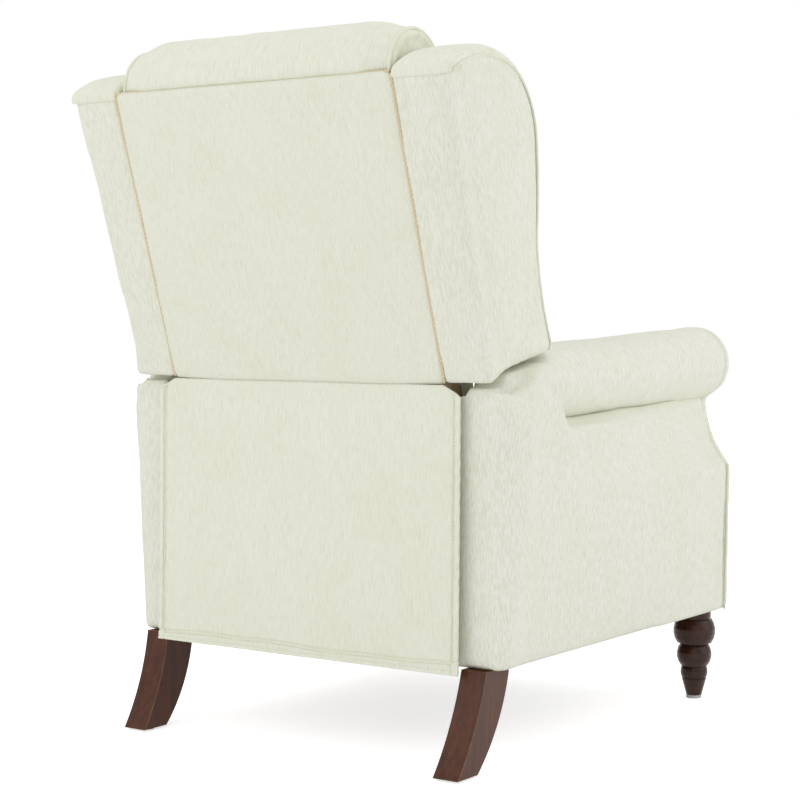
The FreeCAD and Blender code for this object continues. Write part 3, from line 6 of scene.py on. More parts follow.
import bpy
import numpy as np
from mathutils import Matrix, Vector


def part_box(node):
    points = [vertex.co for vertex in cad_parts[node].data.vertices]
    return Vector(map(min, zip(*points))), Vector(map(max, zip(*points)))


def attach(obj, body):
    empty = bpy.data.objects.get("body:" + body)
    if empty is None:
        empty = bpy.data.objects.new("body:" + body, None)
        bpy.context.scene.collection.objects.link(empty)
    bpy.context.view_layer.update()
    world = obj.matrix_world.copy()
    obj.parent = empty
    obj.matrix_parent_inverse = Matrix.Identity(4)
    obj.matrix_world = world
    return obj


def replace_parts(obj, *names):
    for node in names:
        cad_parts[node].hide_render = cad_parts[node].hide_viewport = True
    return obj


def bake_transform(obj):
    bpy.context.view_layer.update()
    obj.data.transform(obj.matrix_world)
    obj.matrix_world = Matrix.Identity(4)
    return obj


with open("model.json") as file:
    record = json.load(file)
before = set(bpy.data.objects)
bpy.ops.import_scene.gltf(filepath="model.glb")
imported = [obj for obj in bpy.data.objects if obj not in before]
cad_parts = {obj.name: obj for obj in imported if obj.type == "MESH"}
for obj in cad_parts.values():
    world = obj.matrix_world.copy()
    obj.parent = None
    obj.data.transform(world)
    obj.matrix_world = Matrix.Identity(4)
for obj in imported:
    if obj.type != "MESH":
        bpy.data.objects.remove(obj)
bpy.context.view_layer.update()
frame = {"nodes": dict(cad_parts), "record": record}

MM = 0.001

# Places taken from the frame
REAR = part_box("arm_shell_left")[1].y
BASE_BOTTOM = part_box("arm_facing_left")[0].z
FRAME_INNER_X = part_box("arm_frame_left")[0].x
FRAME_OUTER_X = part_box("arm_frame_left")[1].x
PAD_INNER_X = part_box("arm_inner_pad_left")[0].x
FACING_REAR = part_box("arm_facing_left")[1].y
FACING_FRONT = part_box("arm_facing_left")[0].y
PANEL_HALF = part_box("rear_panel")[1].x
ROLL_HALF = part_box("head_roll")[1].x
ROLL_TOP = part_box("head_roll")[1].z
FLAP_LOW, FLAP_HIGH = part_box("rear_flap")
SEAT_LOW, SEAT_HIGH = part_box("seat_cushion")

# Sizes that the frame does not state, as in the part's own dimensions
BACK_LEAN = math.radians(17.4)
BACK_FOOT = Vector((0.0, REAR + 13 * MM, 542 * MM))
BACK_HEIGHT = 440 * MM
HEAD_ROLL_R = 72 * MM
HEAD_ROLL_Y = REAR + 78 * MM
HEAD_TAPER = 0.17
HEAD_TAPER_LENGTH = 62 * MM
HEAD_TAPER_SHIFT = 7 * MM
POST_TOP = 520 * MM
POST_FLARE_FOOT = 3 * MM
POST_FLARE_RISE = 17 * MM
FLAP_CUT_WIDTH = 30 * MM
FLAP_CUT_HEIGHT = 15 * MM
SPRING_X = 180 * MM
SPRING_HOOK = 14 * MM
SPRING_WIRE = 1.1 * MM
SPRING_TURNS = 26
INNER_PAD_BOTTOM = 345 * MM
WING_INNER_REAR_X = 247 * MM
WING_INNER_FRONT_X = 276 * MM
WING_TURN_DEPTH = 52 * MM
WING_DEPTH = 210 * MM
WING_OUTER_LOW_X = 327 * MM
WING_OUTER_SLOPE = 10 / 423
WING_REAR_TOP = (146, 964)
WING_ARCS = (((62, 998), (-27, 983)), ((-69, 945), (-94, 880)), ((-100, 810), (-100, 744)),
             ((-116, 670), (-146, 600)), ((-147, 591), (-138, 585)))
FACING_FOOT_X = 337 * MM
FLARE = (341 * MM, 389 * MM)
NECK_X = 295 * MM
NECK_SAG = 0.36
CAP_LIP = 14 * MM
CAP_FRONT_LIP = 6 * MM
THIN_WELT_R = 1.5 * MM
SEAM_R = 2.4 * MM
FACING_SEAM_INSET = 9 * MM
ARM_ROLL_FRONT = Vector((278 * MM, REAR - 700 * MM, 557 * MM))
ARM_ROLL_REAR = Vector((281 * MM, REAR - 91 * MM, 535 * MM))
ARM_ROLL_R = 60 * MM

# Cloth and sewing
VOXEL = 5 * MM
FINE_VOXEL = 4 * MM
CUSHION_VOXEL = 6 * MM
CUSHION_SHRINK = 3 * MM
CLOTH_PRESSURE = 4.0
CLOTH_FRAMES = 20
SWELL_START = 50 * MM
WELT_R = 2.6 * MM
HEM = 10 * MM
BOTTOM_HEM = 15 * MM
CLOTH_CAP = 24 * MM
BACK_SEAM = 165 * MM
STITCH = 3.4 * MM
STITCH_PITCH = 5.2 * MM

CAMERA_PLACE = (-1.741, REAR + 2.261, 0.647)
CAMERA_TURN = math.radians(34.89)
CAMERA_DIP = math.radians(2.68)
CAMERA_LENS = 87.5


# Mesh helpers

def link(obj):
    bpy.context.scene.collection.objects.link(obj)
    return obj


def mesh_piece(name, verts, faces):
    """A smooth-shaded mesh object."""
    mesh = bpy.data.meshes.new(name)
    mesh.from_pydata([tuple(v) for v in verts], [], [tuple(f) for f in faces])
    mesh.validate()
    mesh.polygons.foreach_set("use_smooth", [True] * len(mesh.polygons))
    return link(bpy.data.objects.new(name, mesh))


def dress(obj, material):
    obj.data.materials.clear()
    obj.data.materials.append(material)
    return obj


def cad_mesh(names):
    """Vertices and faces of CAD nodes, put together."""
    verts, faces = [], []
    for name in names:
        mesh = frame["nodes"][name].data
        start = len(verts)
        verts += [v.co.copy() for v in mesh.vertices]
        faces += [[i + start for i in p.vertices] for p in mesh.polygons]
    return verts, faces


def arrays(mesh):
    points = np.zeros(len(mesh.vertices) * 3)
    mesh.vertices.foreach_get("co", points)
    faces = [list(p.vertices) for p in mesh.polygons]
    return points.reshape(-1, 3), faces


def remesh(verts, faces, voxel=VOXEL):
    """One even closed mesh round everything given."""
    obj = mesh_piece("remesh_work", verts, faces)
    step = obj.modifiers.new("voxels", "REMESH")
    step.mode = "VOXEL"
    step.voxel_size = voxel
    evaluated = obj.evaluated_get(bpy.context.evaluated_depsgraph_get())
    made = bpy.data.meshes.new_from_object(evaluated)
    points, polygons = arrays(made)
    bpy.data.objects.remove(obj)
    bpy.data.meshes.remove(made)
    return points, polygons


def edges_of(faces):
    pairs = set()
    for face in faces:
        for a, b in zip(face, face[1:] + face[:1]):
            pairs.add((a, b) if a < b else (b, a))
    return np.array(sorted(pairs))


def relax(points, faces, rounds, share=0.5):
    """Draw each point towards its neighbours; share is a number or one number for each point."""
    edges = edges_of(faces)
    degree = np.zeros(len(points))
    np.add.at(degree, edges[:, 0], 1)
    np.add.at(degree, edges[:, 1], 1)
    share = np.broadcast_to(np.asarray(share, float), (len(points),))[:, None]
    for _ in range(rounds):
        total = np.zeros_like(points)
        np.add.at(total, edges[:, 0], points[edges[:, 1]])
        np.add.at(total, edges[:, 1], points[edges[:, 0]])
        points = points + share * (total / degree[:, None] - points)
    return points


def normals_of(points, faces):
    """Unit normal at each point."""
    quads = np.array([f if len(f) == 4 else f + f[-1:] for f in faces])
    across = points[quads[:, 2]] - points[quads[:, 0]]
    along = points[quads[:, 3]] - points[quads[:, 1]]
    facing = np.cross(across, along)
    total = np.zeros_like(points)
    for corner in range(4):
        np.add.at(total, quads[:, corner], facing)
    return total / np.maximum(np.linalg.norm(total, axis=1), 1e-12)[:, None]


def ripple(points, size, seed):
    """Smooth random field of about -1 to 1, with swells of about the given size."""
    chance = np.random.default_rng(seed)
    total = np.zeros(len(points))
    for _ in range(9):
        way = chance.normal(size=3)
        way = way / np.linalg.norm(way)
        turns = chance.uniform(0.6, 1.5) * 2 * math.pi / size
        total += np.sin(points @ way * turns + chance.uniform(0, 2 * math.pi))
    return total / 5


def smoothstep(low, high, value):
    t = np.clip((value - low) / (high - low), 0, 1)
    return t * t * (3 - 2 * t)


def mirrored_mesh(points, faces):
    return points * np.array([-1.0, 1.0, 1.0]), [f[::-1] for f in faces]


def both_sides(name, points, faces, body, material, slot, nodes=(), fill=None):
    """The piece on +X and its mirror image, each in the place of the CAD nodes named."""
    made = []
    sides = (("left", points, faces), ("right", *mirrored_mesh(points, faces)))
    for side, verts, polygons in sides:
        obj = dress(mesh_piece(name + "_" + side, verts, polygons), material)
        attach(obj, body)
        for node in nodes:
            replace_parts(obj, node + "_" + side)
        made.append(obj)
    return made


def rings_to_faces(rows, columns, closed=True):
    """Faces of a tube of rows rings with columns points each."""
    faces = []
    last = columns if closed else columns - 1
    for r in range(rows - 1):
        for c in range(last):
            d = (c + 1) % columns
            faces.append([r * columns + c, r * columns + d, (r + 1) * columns + d, (r + 1) * columns + c])
    return faces


def tangents(path):
    step = np.gradient(path, axis=0)
    return step / np.linalg.norm(step, axis=1)[:, None]


def tube(path, radius, sides=10, ring=False):
    """Round tube along a path, with closed ends unless it is a ring."""
    path = np.asarray(path, float)
    along = tangents(path)
    if ring:
        along = np.roll(path, -1, axis=0) - np.roll(path, 1, axis=0)
        along = along / np.linalg.norm(along, axis=1)[:, None]
    side = np.cross(along[0], [0.31, 0.52, 0.79])
    points = []
    for here, way in zip(path, along):
        side = side - way * (side @ way)
        side = side / np.linalg.norm(side)
        up = np.cross(way, side)
        for k in range(sides):
            turn = 2 * math.pi * k / sides
            points.append(here + radius * (math.cos(turn) * side + math.sin(turn) * up))
    faces = rings_to_faces(len(path), sides)
    if ring:
        start = (len(path) - 1) * sides
        for c in range(sides):
            d = (c + 1) % sides
            faces.append([start + c, start + d, d, c])
    else:
        faces.append(list(range(sides))[::-1])
        faces.append([(len(path) - 1) * sides + k for k in range(sides)])
    return np.array(points), faces


def join(parts):
    """Several (points, faces) as one."""
    points, faces, start = [], [], 0
    for verts, polygons in parts:
        points.append(np.asarray(verts))
        faces += [[i + start for i in f] for f in polygons]
        start += len(verts)
    return np.concatenate(points), faces


def resample(path, pitch):
    """Points a steady pitch apart along a path."""
    path = np.asarray(path, float)
    run = np.concatenate([[0], np.cumsum(np.linalg.norm(np.diff(path, axis=0), axis=1))])
    places = np.linspace(0, run[-1], max(3, int(run[-1] / pitch) + 1))
    return np.stack([np.interp(places, run, path[:, k]) for k in range(3)], axis=1)


def bent(a, way, b, pitch):
    """Points on the plane arc from a through way to b, without a itself."""
    a, way, b = (np.array(p, float) for p in (a, way, b))
    chord, middle = b - a, (a + b) / 2
    normal = np.array([-chord[1], chord[0]])
    half = np.linalg.norm(chord) / 2
    rise = (way - a) @ normal / np.linalg.norm(chord)
    along = (way - middle) @ chord / np.linalg.norm(chord)
    offset = (along ** 2 + rise ** 2 - half ** 2) / (2 * rise)
    centre = middle + normal / np.linalg.norm(chord) * offset
    radius = np.linalg.norm(a - centre)
    start = math.atan2(*(a - centre)[::-1])
    turn = math.atan2(*(b - centre)[::-1]) - start
    turn = (turn + math.pi) % (2 * math.pi) - math.pi
    count = max(3, int(abs(turn) * radius / pitch))
    turns = start + turn * np.linspace(0, 1, count + 1)[1:]
    return [(centre[0] + radius * math.cos(t), centre[1] + radius * math.sin(t)) for t in turns]


def stitches(path, lift, radius=0.45 * MM):
    """Short raised threads along a path, lifted off the cloth by a vector."""
    middles = resample(path, STITCH_PITCH)
    ways = tangents(middles)
    parts = []
    for here, way in zip(middles[1:-1], ways[1:-1]):
        span = np.linspace(-0.5, 0.5, 4)
        thread = [here + way * (STITCH * s) + lift * (1 - (2 * s) ** 2) for s in span]
        parts.append(tube(thread, radius, 5))
    return join(parts)


# Materials

def shader(name):
    material = bpy.data.materials.new(name)
    material.use_nodes = True
    tree = material.node_tree
    return material, tree, tree.nodes["Principled BSDF"]


def node(tree, kind, **settings):
    made = tree.nodes.new(kind)
    for key, value in settings.items():
        setattr(made, key, value)
    return made


def coordinates(tree, scale, lean=0.0):
    """Places on the piece at rest, turned upright by its lean and stretched."""
    place = node(tree, "ShaderNodeTexCoord")
    mapping = node(tree, "ShaderNodeMapping", vector_type="TEXTURE")
    mapping.inputs["Rotation"].default_value = (-lean, 0, 0)
    mapping.inputs["Scale"].default_value = [1 / s for s in scale]
    tree.links.new(place.outputs["Object"], mapping.inputs["Vector"])
    return mapping.outputs["Vector"]


def noise(tree, scale, detail=3.0, roughness=0.5, lean=0.0):
    made = node(tree, "ShaderNodeTexNoise")
    made.inputs["Scale"].default_value = 1.0
    made.inputs["Detail"].default_value = detail
    made.inputs["Roughness"].default_value = roughness
    tree.links.new(coordinates(tree, scale, lean), made.inputs["Vector"])
    return made.outputs["Fac"]


def ramp(tree, value, stops):
    made = node(tree, "ShaderNodeValToRGB")
    made.color_ramp.elements[0].position = stops[0][0]
    made.color_ramp.elements[0].color = (*stops[0][1], 1)
    made.color_ramp.elements[1].position = stops[-1][0]
    made.color_ramp.elements[1].color = (*stops[-1][1], 1)
    for place, colour in stops[1:-1]:
        made.color_ramp.elements.new(place).color = (*colour, 1)
    tree.links.new(value, made.inputs["Fac"])
    return made.outputs["Color"]


def mix_colour(tree, blend, share, a, b):
    made = node(tree, "ShaderNodeMix", data_type="RGBA", blend_type=blend)
    made.inputs["Factor"].default_value = share
    tree.links.new(a, made.inputs["A"])
    tree.links.new(b, made.inputs["B"])
    return made.outputs["Result"]


def maths(tree, operation, a, b):
    made = node(tree, "ShaderNodeMath", operation=operation)
    for socket, value in zip(made.inputs, (a, b)):
        if isinstance(value, float):
            socket.default_value = value
        else:
            tree.links.new(value, socket)
    return made.outputs[0]


def bump(tree, bsdf, height, distance, strength):
    made = node(tree, "ShaderNodeBump")
    made.inputs["Distance"].default_value = distance
    made.inputs["Strength"].default_value = strength
    tree.links.new(height, made.inputs["Height"])
    tree.links.new(made.outputs["Normal"], bsdf.inputs["Normal"])


CREAM = (0.850, 0.850, 0.705)
CREAM_DEEP = (0.745, 0.740, 0.590)
CREAM_PALE = (0.905, 0.905, 0.800)


def chenille(name, quick, slow, contrast=1.0, cool=0.0, lean=0.0):
    """Cream slubbed cloth; quick and slow name how fast the threads change along x, y and z."""
    material, tree, bsdf = shader(name)
    threads = [quick if axis else slow for axis in name_axes(name)]
    slubs = noise(tree, threads, 2.0, 0.6, lean)
    fine = noise(tree, [t * 2.6 for t in threads], 1.0, 0.5, lean)
    nap = noise(tree, (14, 14, 9), 3.0)
    weft = noise(tree, [slow * 6 if axis else quick * 0.9 for axis in name_axes(name)], 1.0, 0.5, lean)
    lo = 0.5 - 0.16 / contrast
    hi = 0.5 + 0.16 / contrast
    deep, cream, pale = (tinted(c, cool) for c in (CREAM_DEEP, CREAM, CREAM_PALE))
    streaks = ramp(tree, slubs, [(lo, deep), (0.5, cream), (hi, pale)])
    patches = ramp(tree, nap, [(0.3, cream), (0.7, pale)])
    colour = mix_colour(tree, "MIX", 0.35, streaks, patches)
    tree.links.new(colour, bsdf.inputs["Base Color"])
    bsdf.inputs["Roughness"].default_value = 0.92
    bsdf.inputs["Specular IOR Level"].default_value = 0.25
    bsdf.inputs["Sheen Weight"].default_value = 0.22
    bsdf.inputs["Sheen Roughness"].default_value = 0.45
    bsdf.inputs["Sheen Tint"].default_value = (1.0, 0.99, 0.95, 1)
    height = maths(tree, "ADD", maths(tree, "MULTIPLY", slubs, 1.4), maths(tree, "MULTIPLY", fine, 0.8))
    height = maths(tree, "ADD", height, maths(tree, "MULTIPLY", weft, 0.6))
    bump(tree, bsdf, height, 0.7 * MM, 0.45)
    return material


def tinted(colour, cool):
    """The colour with its yellow lowered by a share."""
    red, green, blue = colour
    return (red, green, blue + cool * (green - blue))


def name_axes(name):
    """Axes across the threads, written at the end of a material's name."""
    letters = name.rsplit("_", 1)[1]
    return [axis in letters for axis in "xyz"]


def wood(name, dark, light, gloss):
    """Stained wood, its grain up the piece."""
    material, tree, bsdf = shader(name)
    grain = noise(tree, (120, 120, 9), 4.0, 0.65)
    pores = noise(tree, (700, 700, 40), 1.0)
    colour = ramp(tree, grain, [(0.3, dark), (0.72, light)])
    tree.links.new(colour, bsdf.inputs["Base Color"])
    rough = maths(tree, "ADD", maths(tree, "MULTIPLY", grain, 0.14), gloss)
    tree.links.new(rough, bsdf.inputs["Roughness"])
    bsdf.inputs["Specular IOR Level"].default_value = 0.22
    bsdf.inputs["Coat Weight"].default_value = 0.06
    bsdf.inputs["Coat Roughness"].default_value = 0.2
    bump(tree, bsdf, pores, 0.25 * MM, 0.25)
    return material


def metal(name, colour, metallic, roughness):
    material, tree, bsdf = shader(name)
    scuffs = noise(tree, (180, 60, 180), 3.0)
    low = tuple(c * 0.82 for c in colour)
    tree.links.new(ramp(tree, scuffs, [(0.35, low), (0.65, colour)]), bsdf.inputs["Base Color"])
    rough = maths(tree, "ADD", maths(tree, "MULTIPLY", scuffs, 0.2), roughness)
    tree.links.new(rough, bsdf.inputs["Roughness"])
    bsdf.inputs["Metallic"].default_value = metallic
    bump(tree, bsdf, scuffs, 0.15 * MM, 0.2)
    return material


def webbing(name, colour):
    """Woven elastic or non-woven cloth."""
    material, tree, bsdf = shader(name)
    weave = node(tree, "ShaderNodeTexChecker")
    weave.inputs["Scale"].default_value = 420.0
    weave.inputs["Color1"].default_value = (*colour, 1)
    weave.inputs["Color2"].default_value = (*[c * 1.35 for c in colour], 1)
    tree.links.new(coordinates(tree, (1, 1, 1)), weave.inputs["Vector"])
    tree.links.new(weave.outputs["Color"], bsdf.inputs["Base Color"])
    bsdf.inputs["Roughness"].default_value = 0.9
    bump(tree, bsdf, weave.outputs["Fac"], 0.3 * MM, 0.4)
    return material


def matte_plastic(name, colour):
    material, tree, bsdf = shader(name)
    grain = noise(tree, (900, 900, 900), 1.0)
    low = tuple(c * 0.9 for c in colour)
    tree.links.new(ramp(tree, grain, [(0.4, low), (0.6, colour)]), bsdf.inputs["Base Color"])
    bsdf.inputs["Roughness"].default_value = 0.55
    bump(tree, bsdf, grain, 0.1 * MM, 0.3)
    return material


UPRIGHT = chenille("chenille_upright_xy", 620.0, 75.0, contrast=1.7, cool=0.1)
WING = chenille("chenille_wing_xy", 620.0, 75.0, contrast=1.3, cool=0.06, lean=BACK_LEAN)
OUTSIDE_BACK = chenille("chenille_back_xy", 620.0, 75.0, contrast=0.7, lean=BACK_LEAN)
PLAIN = chenille("chenille_plain_xy", 620.0, 60.0, contrast=0.7)
ALONG_ROLL = chenille("chenille_roll_y", 560.0, 75.0, contrast=1.4, cool=0.1)
ACROSS = chenille("chenille_across_x", 560.0, 60.0, contrast=0.8)
# Painted shade: tan cloth laid in the seams round the outside back for the warm shade in them.
SEAM_SHADE_TAN = webbing("painted_seam_shade", (0.62, 0.53, 0.36))
THREAD = webbing("sewing_thread", (0.66, 0.62, 0.46))
WALNUT = wood("walnut", (0.050, 0.014, 0.006), (0.112, 0.034, 0.012), 0.30)
TURNED_WALNUT = wood("walnut_turned", (0.026, 0.008, 0.004), (0.055, 0.017, 0.008), 0.16)
# Lighter wood on the rear legs' eased edges: partly wear, partly a painted highlight along the edges.
WORN_AND_HIGHLIT_EDGE = wood("walnut_worn_and_highlit", (0.17, 0.075, 0.040), (0.34, 0.19, 0.12), 0.4)
PLYWOOD = wood("raw_wood", (0.52, 0.36, 0.21), (0.70, 0.53, 0.35), 0.6)
ZINC = metal("zinc", (0.60, 0.60, 0.58), 1.0, 0.28)
BLACK_STEEL = metal("black_steel", (0.030, 0.030, 0.032), 0.0, 0.42)
WEBBING = webbing("webbing", (0.05, 0.045, 0.04))
DUST_CLOTH = webbing("dust_cloth", (0.018, 0.018, 0.018))
GLIDE = matte_plastic("glide_plastic", (0.55, 0.55, 0.53))

CAD_FINISH = {
    "dark_wood": WALNUT,
    "plywood": PLYWOOD,
    "zinc_steel": ZINC,
    "black_steel": BLACK_STEEL,
    "webbing": WEBBING,
    "dust_cloth": DUST_CLOTH,
    "glide_plastic": GLIDE,
    "cream_fabric": UPRIGHT,
    "flap_fabric": PLAIN,
}


def finish_cad_nodes():
    """Materials for the rigid nodes, and eased edges on the rear legs in a lighter wood that stands for wear
    and a painted highlight along the edges.
    """
    for subpart in frame["record"]["subparts"]:
        obj = frame["nodes"][subpart["node"]]
        obj.data.materials.clear()
        finish = CAD_FINISH[subpart["material_slot"]]
        if subpart["node"].startswith("front_leg"):
            finish = TURNED_WALNUT
        obj.data.materials.append(finish)
        if subpart["node"].startswith("rear_leg"):
            obj.data.materials.append(WORN_AND_HIGHLIT_EDGE)
            ease_edges(obj, 2.0 * MM, material_index=1)
        elif subpart["material_slot"] in ("plywood", "black_steel"):
            ease_edges(obj, 0.5 * MM)


def ease_edges(obj, width, material_index=-1):
    obj.data.polygons.foreach_set("use_smooth", [False] * len(obj.data.polygons))
    obj.modifiers.new("joined", "WELD").merge_threshold = 0.01 * MM
    bevel = obj.modifiers.new("eased", "BEVEL")
    bevel.width = width
    bevel.segments = 2
    bevel.limit_method = "ANGLE"
    bevel.angle_limit = math.radians(40)
    bevel.material = material_index
    bevel.harden_normals = False


# Back: places along the lean

def on_back(x, along, depth):
    """Place given along the back's lean and forward from its rear face."""
    y = BACK_FOOT.y + along * math.sin(BACK_LEAN) - depth * math.cos(BACK_LEAN)
    z = BACK_FOOT.z + along * math.cos(BACK_LEAN) + depth * math.sin(BACK_LEAN)
    return np.array([x, y, z])


def back_coordinates(points):
    """(along, depth) on the back of each point."""
    dy = points[:, 1] - BACK_FOOT.y
    dz = points[:, 2] - BACK_FOOT.z
    along = dy * math.sin(BACK_LEAN) + dz * math.cos(BACK_LEAN)
    depth = -dy * math.cos(BACK_LEAN) + dz * math.sin(BACK_LEAN)
    return along, depth


# Arms

def round_corner(points, x_edge, z_edge, radius, inward):
    """Round an edge that runs along Y; inward is +1 where the piece lies towards +X of the edge."""
    x_centre = x_edge + inward * radius
    z_centre = z_edge - radius
    across = (points[:, 0] - x_centre) * -inward
    above = points[:, 2] - z_centre
    corner = (across > 0) & (above > 0)
    reach = np.hypot(across, above)
    pull = np.where(corner & (reach > radius), radius / np.maximum(reach, 1e-9), 1.0)
    points[:, 0] = np.where(corner, x_centre - inward * across * pull, points[:, 0])
    points[:, 2] = np.where(corner, z_centre + above * pull, points[:, 2])
    return points


def stress_folds(points, outward, centre, turns, length, width, height):
    """Soft ridges on a side face that fan out from a point at (y, z), one for each angle in degrees."""
    gy = points[:, 1] - centre[0]
    gz = points[:, 2] - centre[1]
    total = np.zeros(len(points))
    for turn in turns:
        way = (math.cos(math.radians(turn)), math.sin(math.radians(turn)))
        along = gy * way[0] + gz * way[1]
        aside = -gy * way[1] + gz * way[0]
        fade = smoothstep(0, 0.25 * length, along) * (1 - smoothstep(0.3 * length, length, along))
        total += fade * np.exp(-(aside / width) ** 2)
    return total * height * outward


def arm_cover():
    """Outer padding, shoulder and inner padding of an arm, as one upholstered body."""
    nodes = ("arm_shell", "arm_frame", "arm_inner_pad")
    verts, faces = cad_mesh([n + "_left" for n in nodes])
    points, faces = remesh(verts, faces)
    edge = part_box("arm_shell_left")[1].x
    points[:, 0] += post_flare(points)
    near = smoothstep(REAR - 75 * MM, REAR - 20 * MM, points[:, 1])[:, None]
    rounded = round_corner(points.copy(), PAD_INNER_X, POST_TOP, 27 * MM, 1)
    rounded = round_corner(rounded, edge, POST_TOP + 4 * MM, 27 * MM, -1)
    points = points + near * (rounded - points)
    clear = smoothstep(0, 12 * MM, off_roll(points))
    points = relax(points, faces, 10, 0.04 + 0.46 * clear)
    outward = normals_of(points, faces)
    side = np.clip(outward[:, 0], 0, 1) ** 2
    low = smoothstep(BASE_BOTTOM, BASE_BOTTOM + 60 * MM, points[:, 2])
    crown = 3.0 * MM * side * low * np.sin(np.clip((points[:, 1] - FACING_REAR) / 0.55, 0, 1) * math.pi)
    swell = 0.8 * MM * ripple(points, 0.16, 3) + 0.35 * MM * ripple(points, 0.05, 4)
    shoulder_low = (REAR - 157 * MM, 478 * MM)
    folds = stress_folds(points, side, shoulder_low, (-62, -84, -106, -130), 95 * MM, 6 * MM, 3.2 * MM)
    neck = (FACING_REAR + 6 * MM, 432 * MM)
    folds += stress_folds(points, side, neck, (-20, -4, 14), 110 * MM, 7 * MM, 1.0 * MM)
    post_top = (REAR - 16 * MM, 520 * MM)
    folds += stress_folds(points, side, post_top, (-92,), 130 * MM, 6 * MM, 4.0 * MM)
    points = points + outward * (crown + swell * low + folds)[:, None]
    under_roll = (1 - smoothstep(6 * MM, 20 * MM, off_roll(points))) * np.clip(outward[:, 2], 0, 1)
    points[:, 2] += 7 * MM * under_roll * (points[:, 2] < ARM_ROLL_REAR.z)
    points = tuck_into_frame(points)
    both_sides("arm_cover", points, faces, "base", UPRIGHT, "cream_fabric",
               ("arm_shell", "arm_inner_pad"), fill=0.7)


def post_flare(points):
    """How far the cloth over the rear post stands out sideways, more towards its top."""
    height = np.clip((points[:, 2] - BASE_BOTTOM) / (POST_TOP - BASE_BOTTOM), 0, 1)
    near = smoothstep(REAR - 80 * MM, REAR - 12 * MM, points[:, 1])
    outside = smoothstep(270 * MM, 322 * MM, points[:, 0])
    return (POST_FLARE_FOOT + POST_FLARE_RISE * height) * near * outside


def off_roll(points):
    """How far each point lies outside the surface of the arm roll."""
    run = (points[:, 1] - ARM_ROLL_REAR.y) / (ARM_ROLL_FRONT.y - ARM_ROLL_REAR.y)
    x = ARM_ROLL_REAR.x + run * (ARM_ROLL_FRONT.x - ARM_ROLL_REAR.x)
    z = ARM_ROLL_REAR.z + run * (ARM_ROLL_FRONT.z - ARM_ROLL_REAR.z)
    return np.hypot(points[:, 0] - x, points[:, 2] - z) - ARM_ROLL_R


def tuck_into_frame(points):
    """Draw the cloth back inside the wood where the wood shows: under the arm and beside the mechanism."""
    inside = (points[:, 0] < FRAME_INNER_X + 4 * MM) & (points[:, 2] < INNER_PAD_BOTTOM - 2 * MM)
    inside &= (points[:, 1] > FACING_REAR + 90 * MM) & (points[:, 1] < REAR - 62 * MM)
    points[:, 0] = np.where(inside, np.maximum(points[:, 0], FRAME_INNER_X + 5 * MM), points[:, 0])
    under = (points[:, 2] < BASE_BOTTOM + 4 * MM) & (points[:, 0] < FRAME_OUTER_X - 3 * MM)
    under &= points[:, 0] > FRAME_INNER_X
    points[:, 2] = np.where(under, np.maximum(points[:, 2], BASE_BOTTOM + 3 * MM), points[:, 2])
    points[:, 2] = np.maximum(points[:, 2], BASE_BOTTOM)
    return points


def arm_roll():
    verts, faces = cad_mesh(["arm_roll_left"])
    points, faces = remesh(verts, faces)
    points = relax(points, faces, 4)
    outward = normals_of(points, faces)
    front = smoothstep(ARM_ROLL_REAR.y, ARM_ROLL_FRONT.y, points[:, 1])
    turn = np.arctan2(points[:, 2] - 0.545, points[:, 0] - 0.28)
    gathers = np.sin(turn * 23 + 2.0 * np.sin(points[:, 1] * 30))
    near_end = smoothstep(ARM_ROLL_FRONT.y + 70 * MM, ARM_ROLL_FRONT.y + 4 * MM, points[:, 1])
    swell = 0.9 * MM * ripple(points, 0.13, 11) + 0.4 * MM * ripple(points, 0.045, 12)
    points = points + outward * (swell + 0.35 * MM * gathers * near_end * front)[:, None]
    both_sides("arm_roll_cover", points, faces, "base", ALONG_ROLL, "cream_fabric", ("arm_roll",), fill=0.9)


def facing_outline():
    """The scroll on the front of an arm as (x, z), from its foot round the flare, neck and roll."""
    roll_x, roll_z = ARM_ROLL_FRONT.x, ARM_ROLL_FRONT.z
    neck_z = roll_z - math.sqrt(ARM_ROLL_R ** 2 - (NECK_X - roll_x) ** 2)
    hollow = NECK_SAG * (FLARE[0] - NECK_X) / 2
    way = ((FLARE[0] + NECK_X) / 2 - hollow, (FLARE[1] + neck_z) / 2 - hollow)
    points = [(FACING_FOOT_X, BASE_BOTTOM), FLARE]
    points += bent(FLARE, way, (NECK_X, neck_z), 3 * MM)
    points += bent(points[-1], (roll_x + ARM_ROLL_R, roll_z), (roll_x, roll_z + ARM_ROLL_R), 3 * MM)
    dip = math.sqrt(ARM_ROLL_R ** 2 - (roll_x - PAD_INNER_X) ** 2)
    points += bent(points[-1], (roll_x - ARM_ROLL_R, roll_z), (PAD_INNER_X, roll_z - dip), 3 * MM)
    return points + [(PAD_INNER_X, BASE_BOTTOM)]


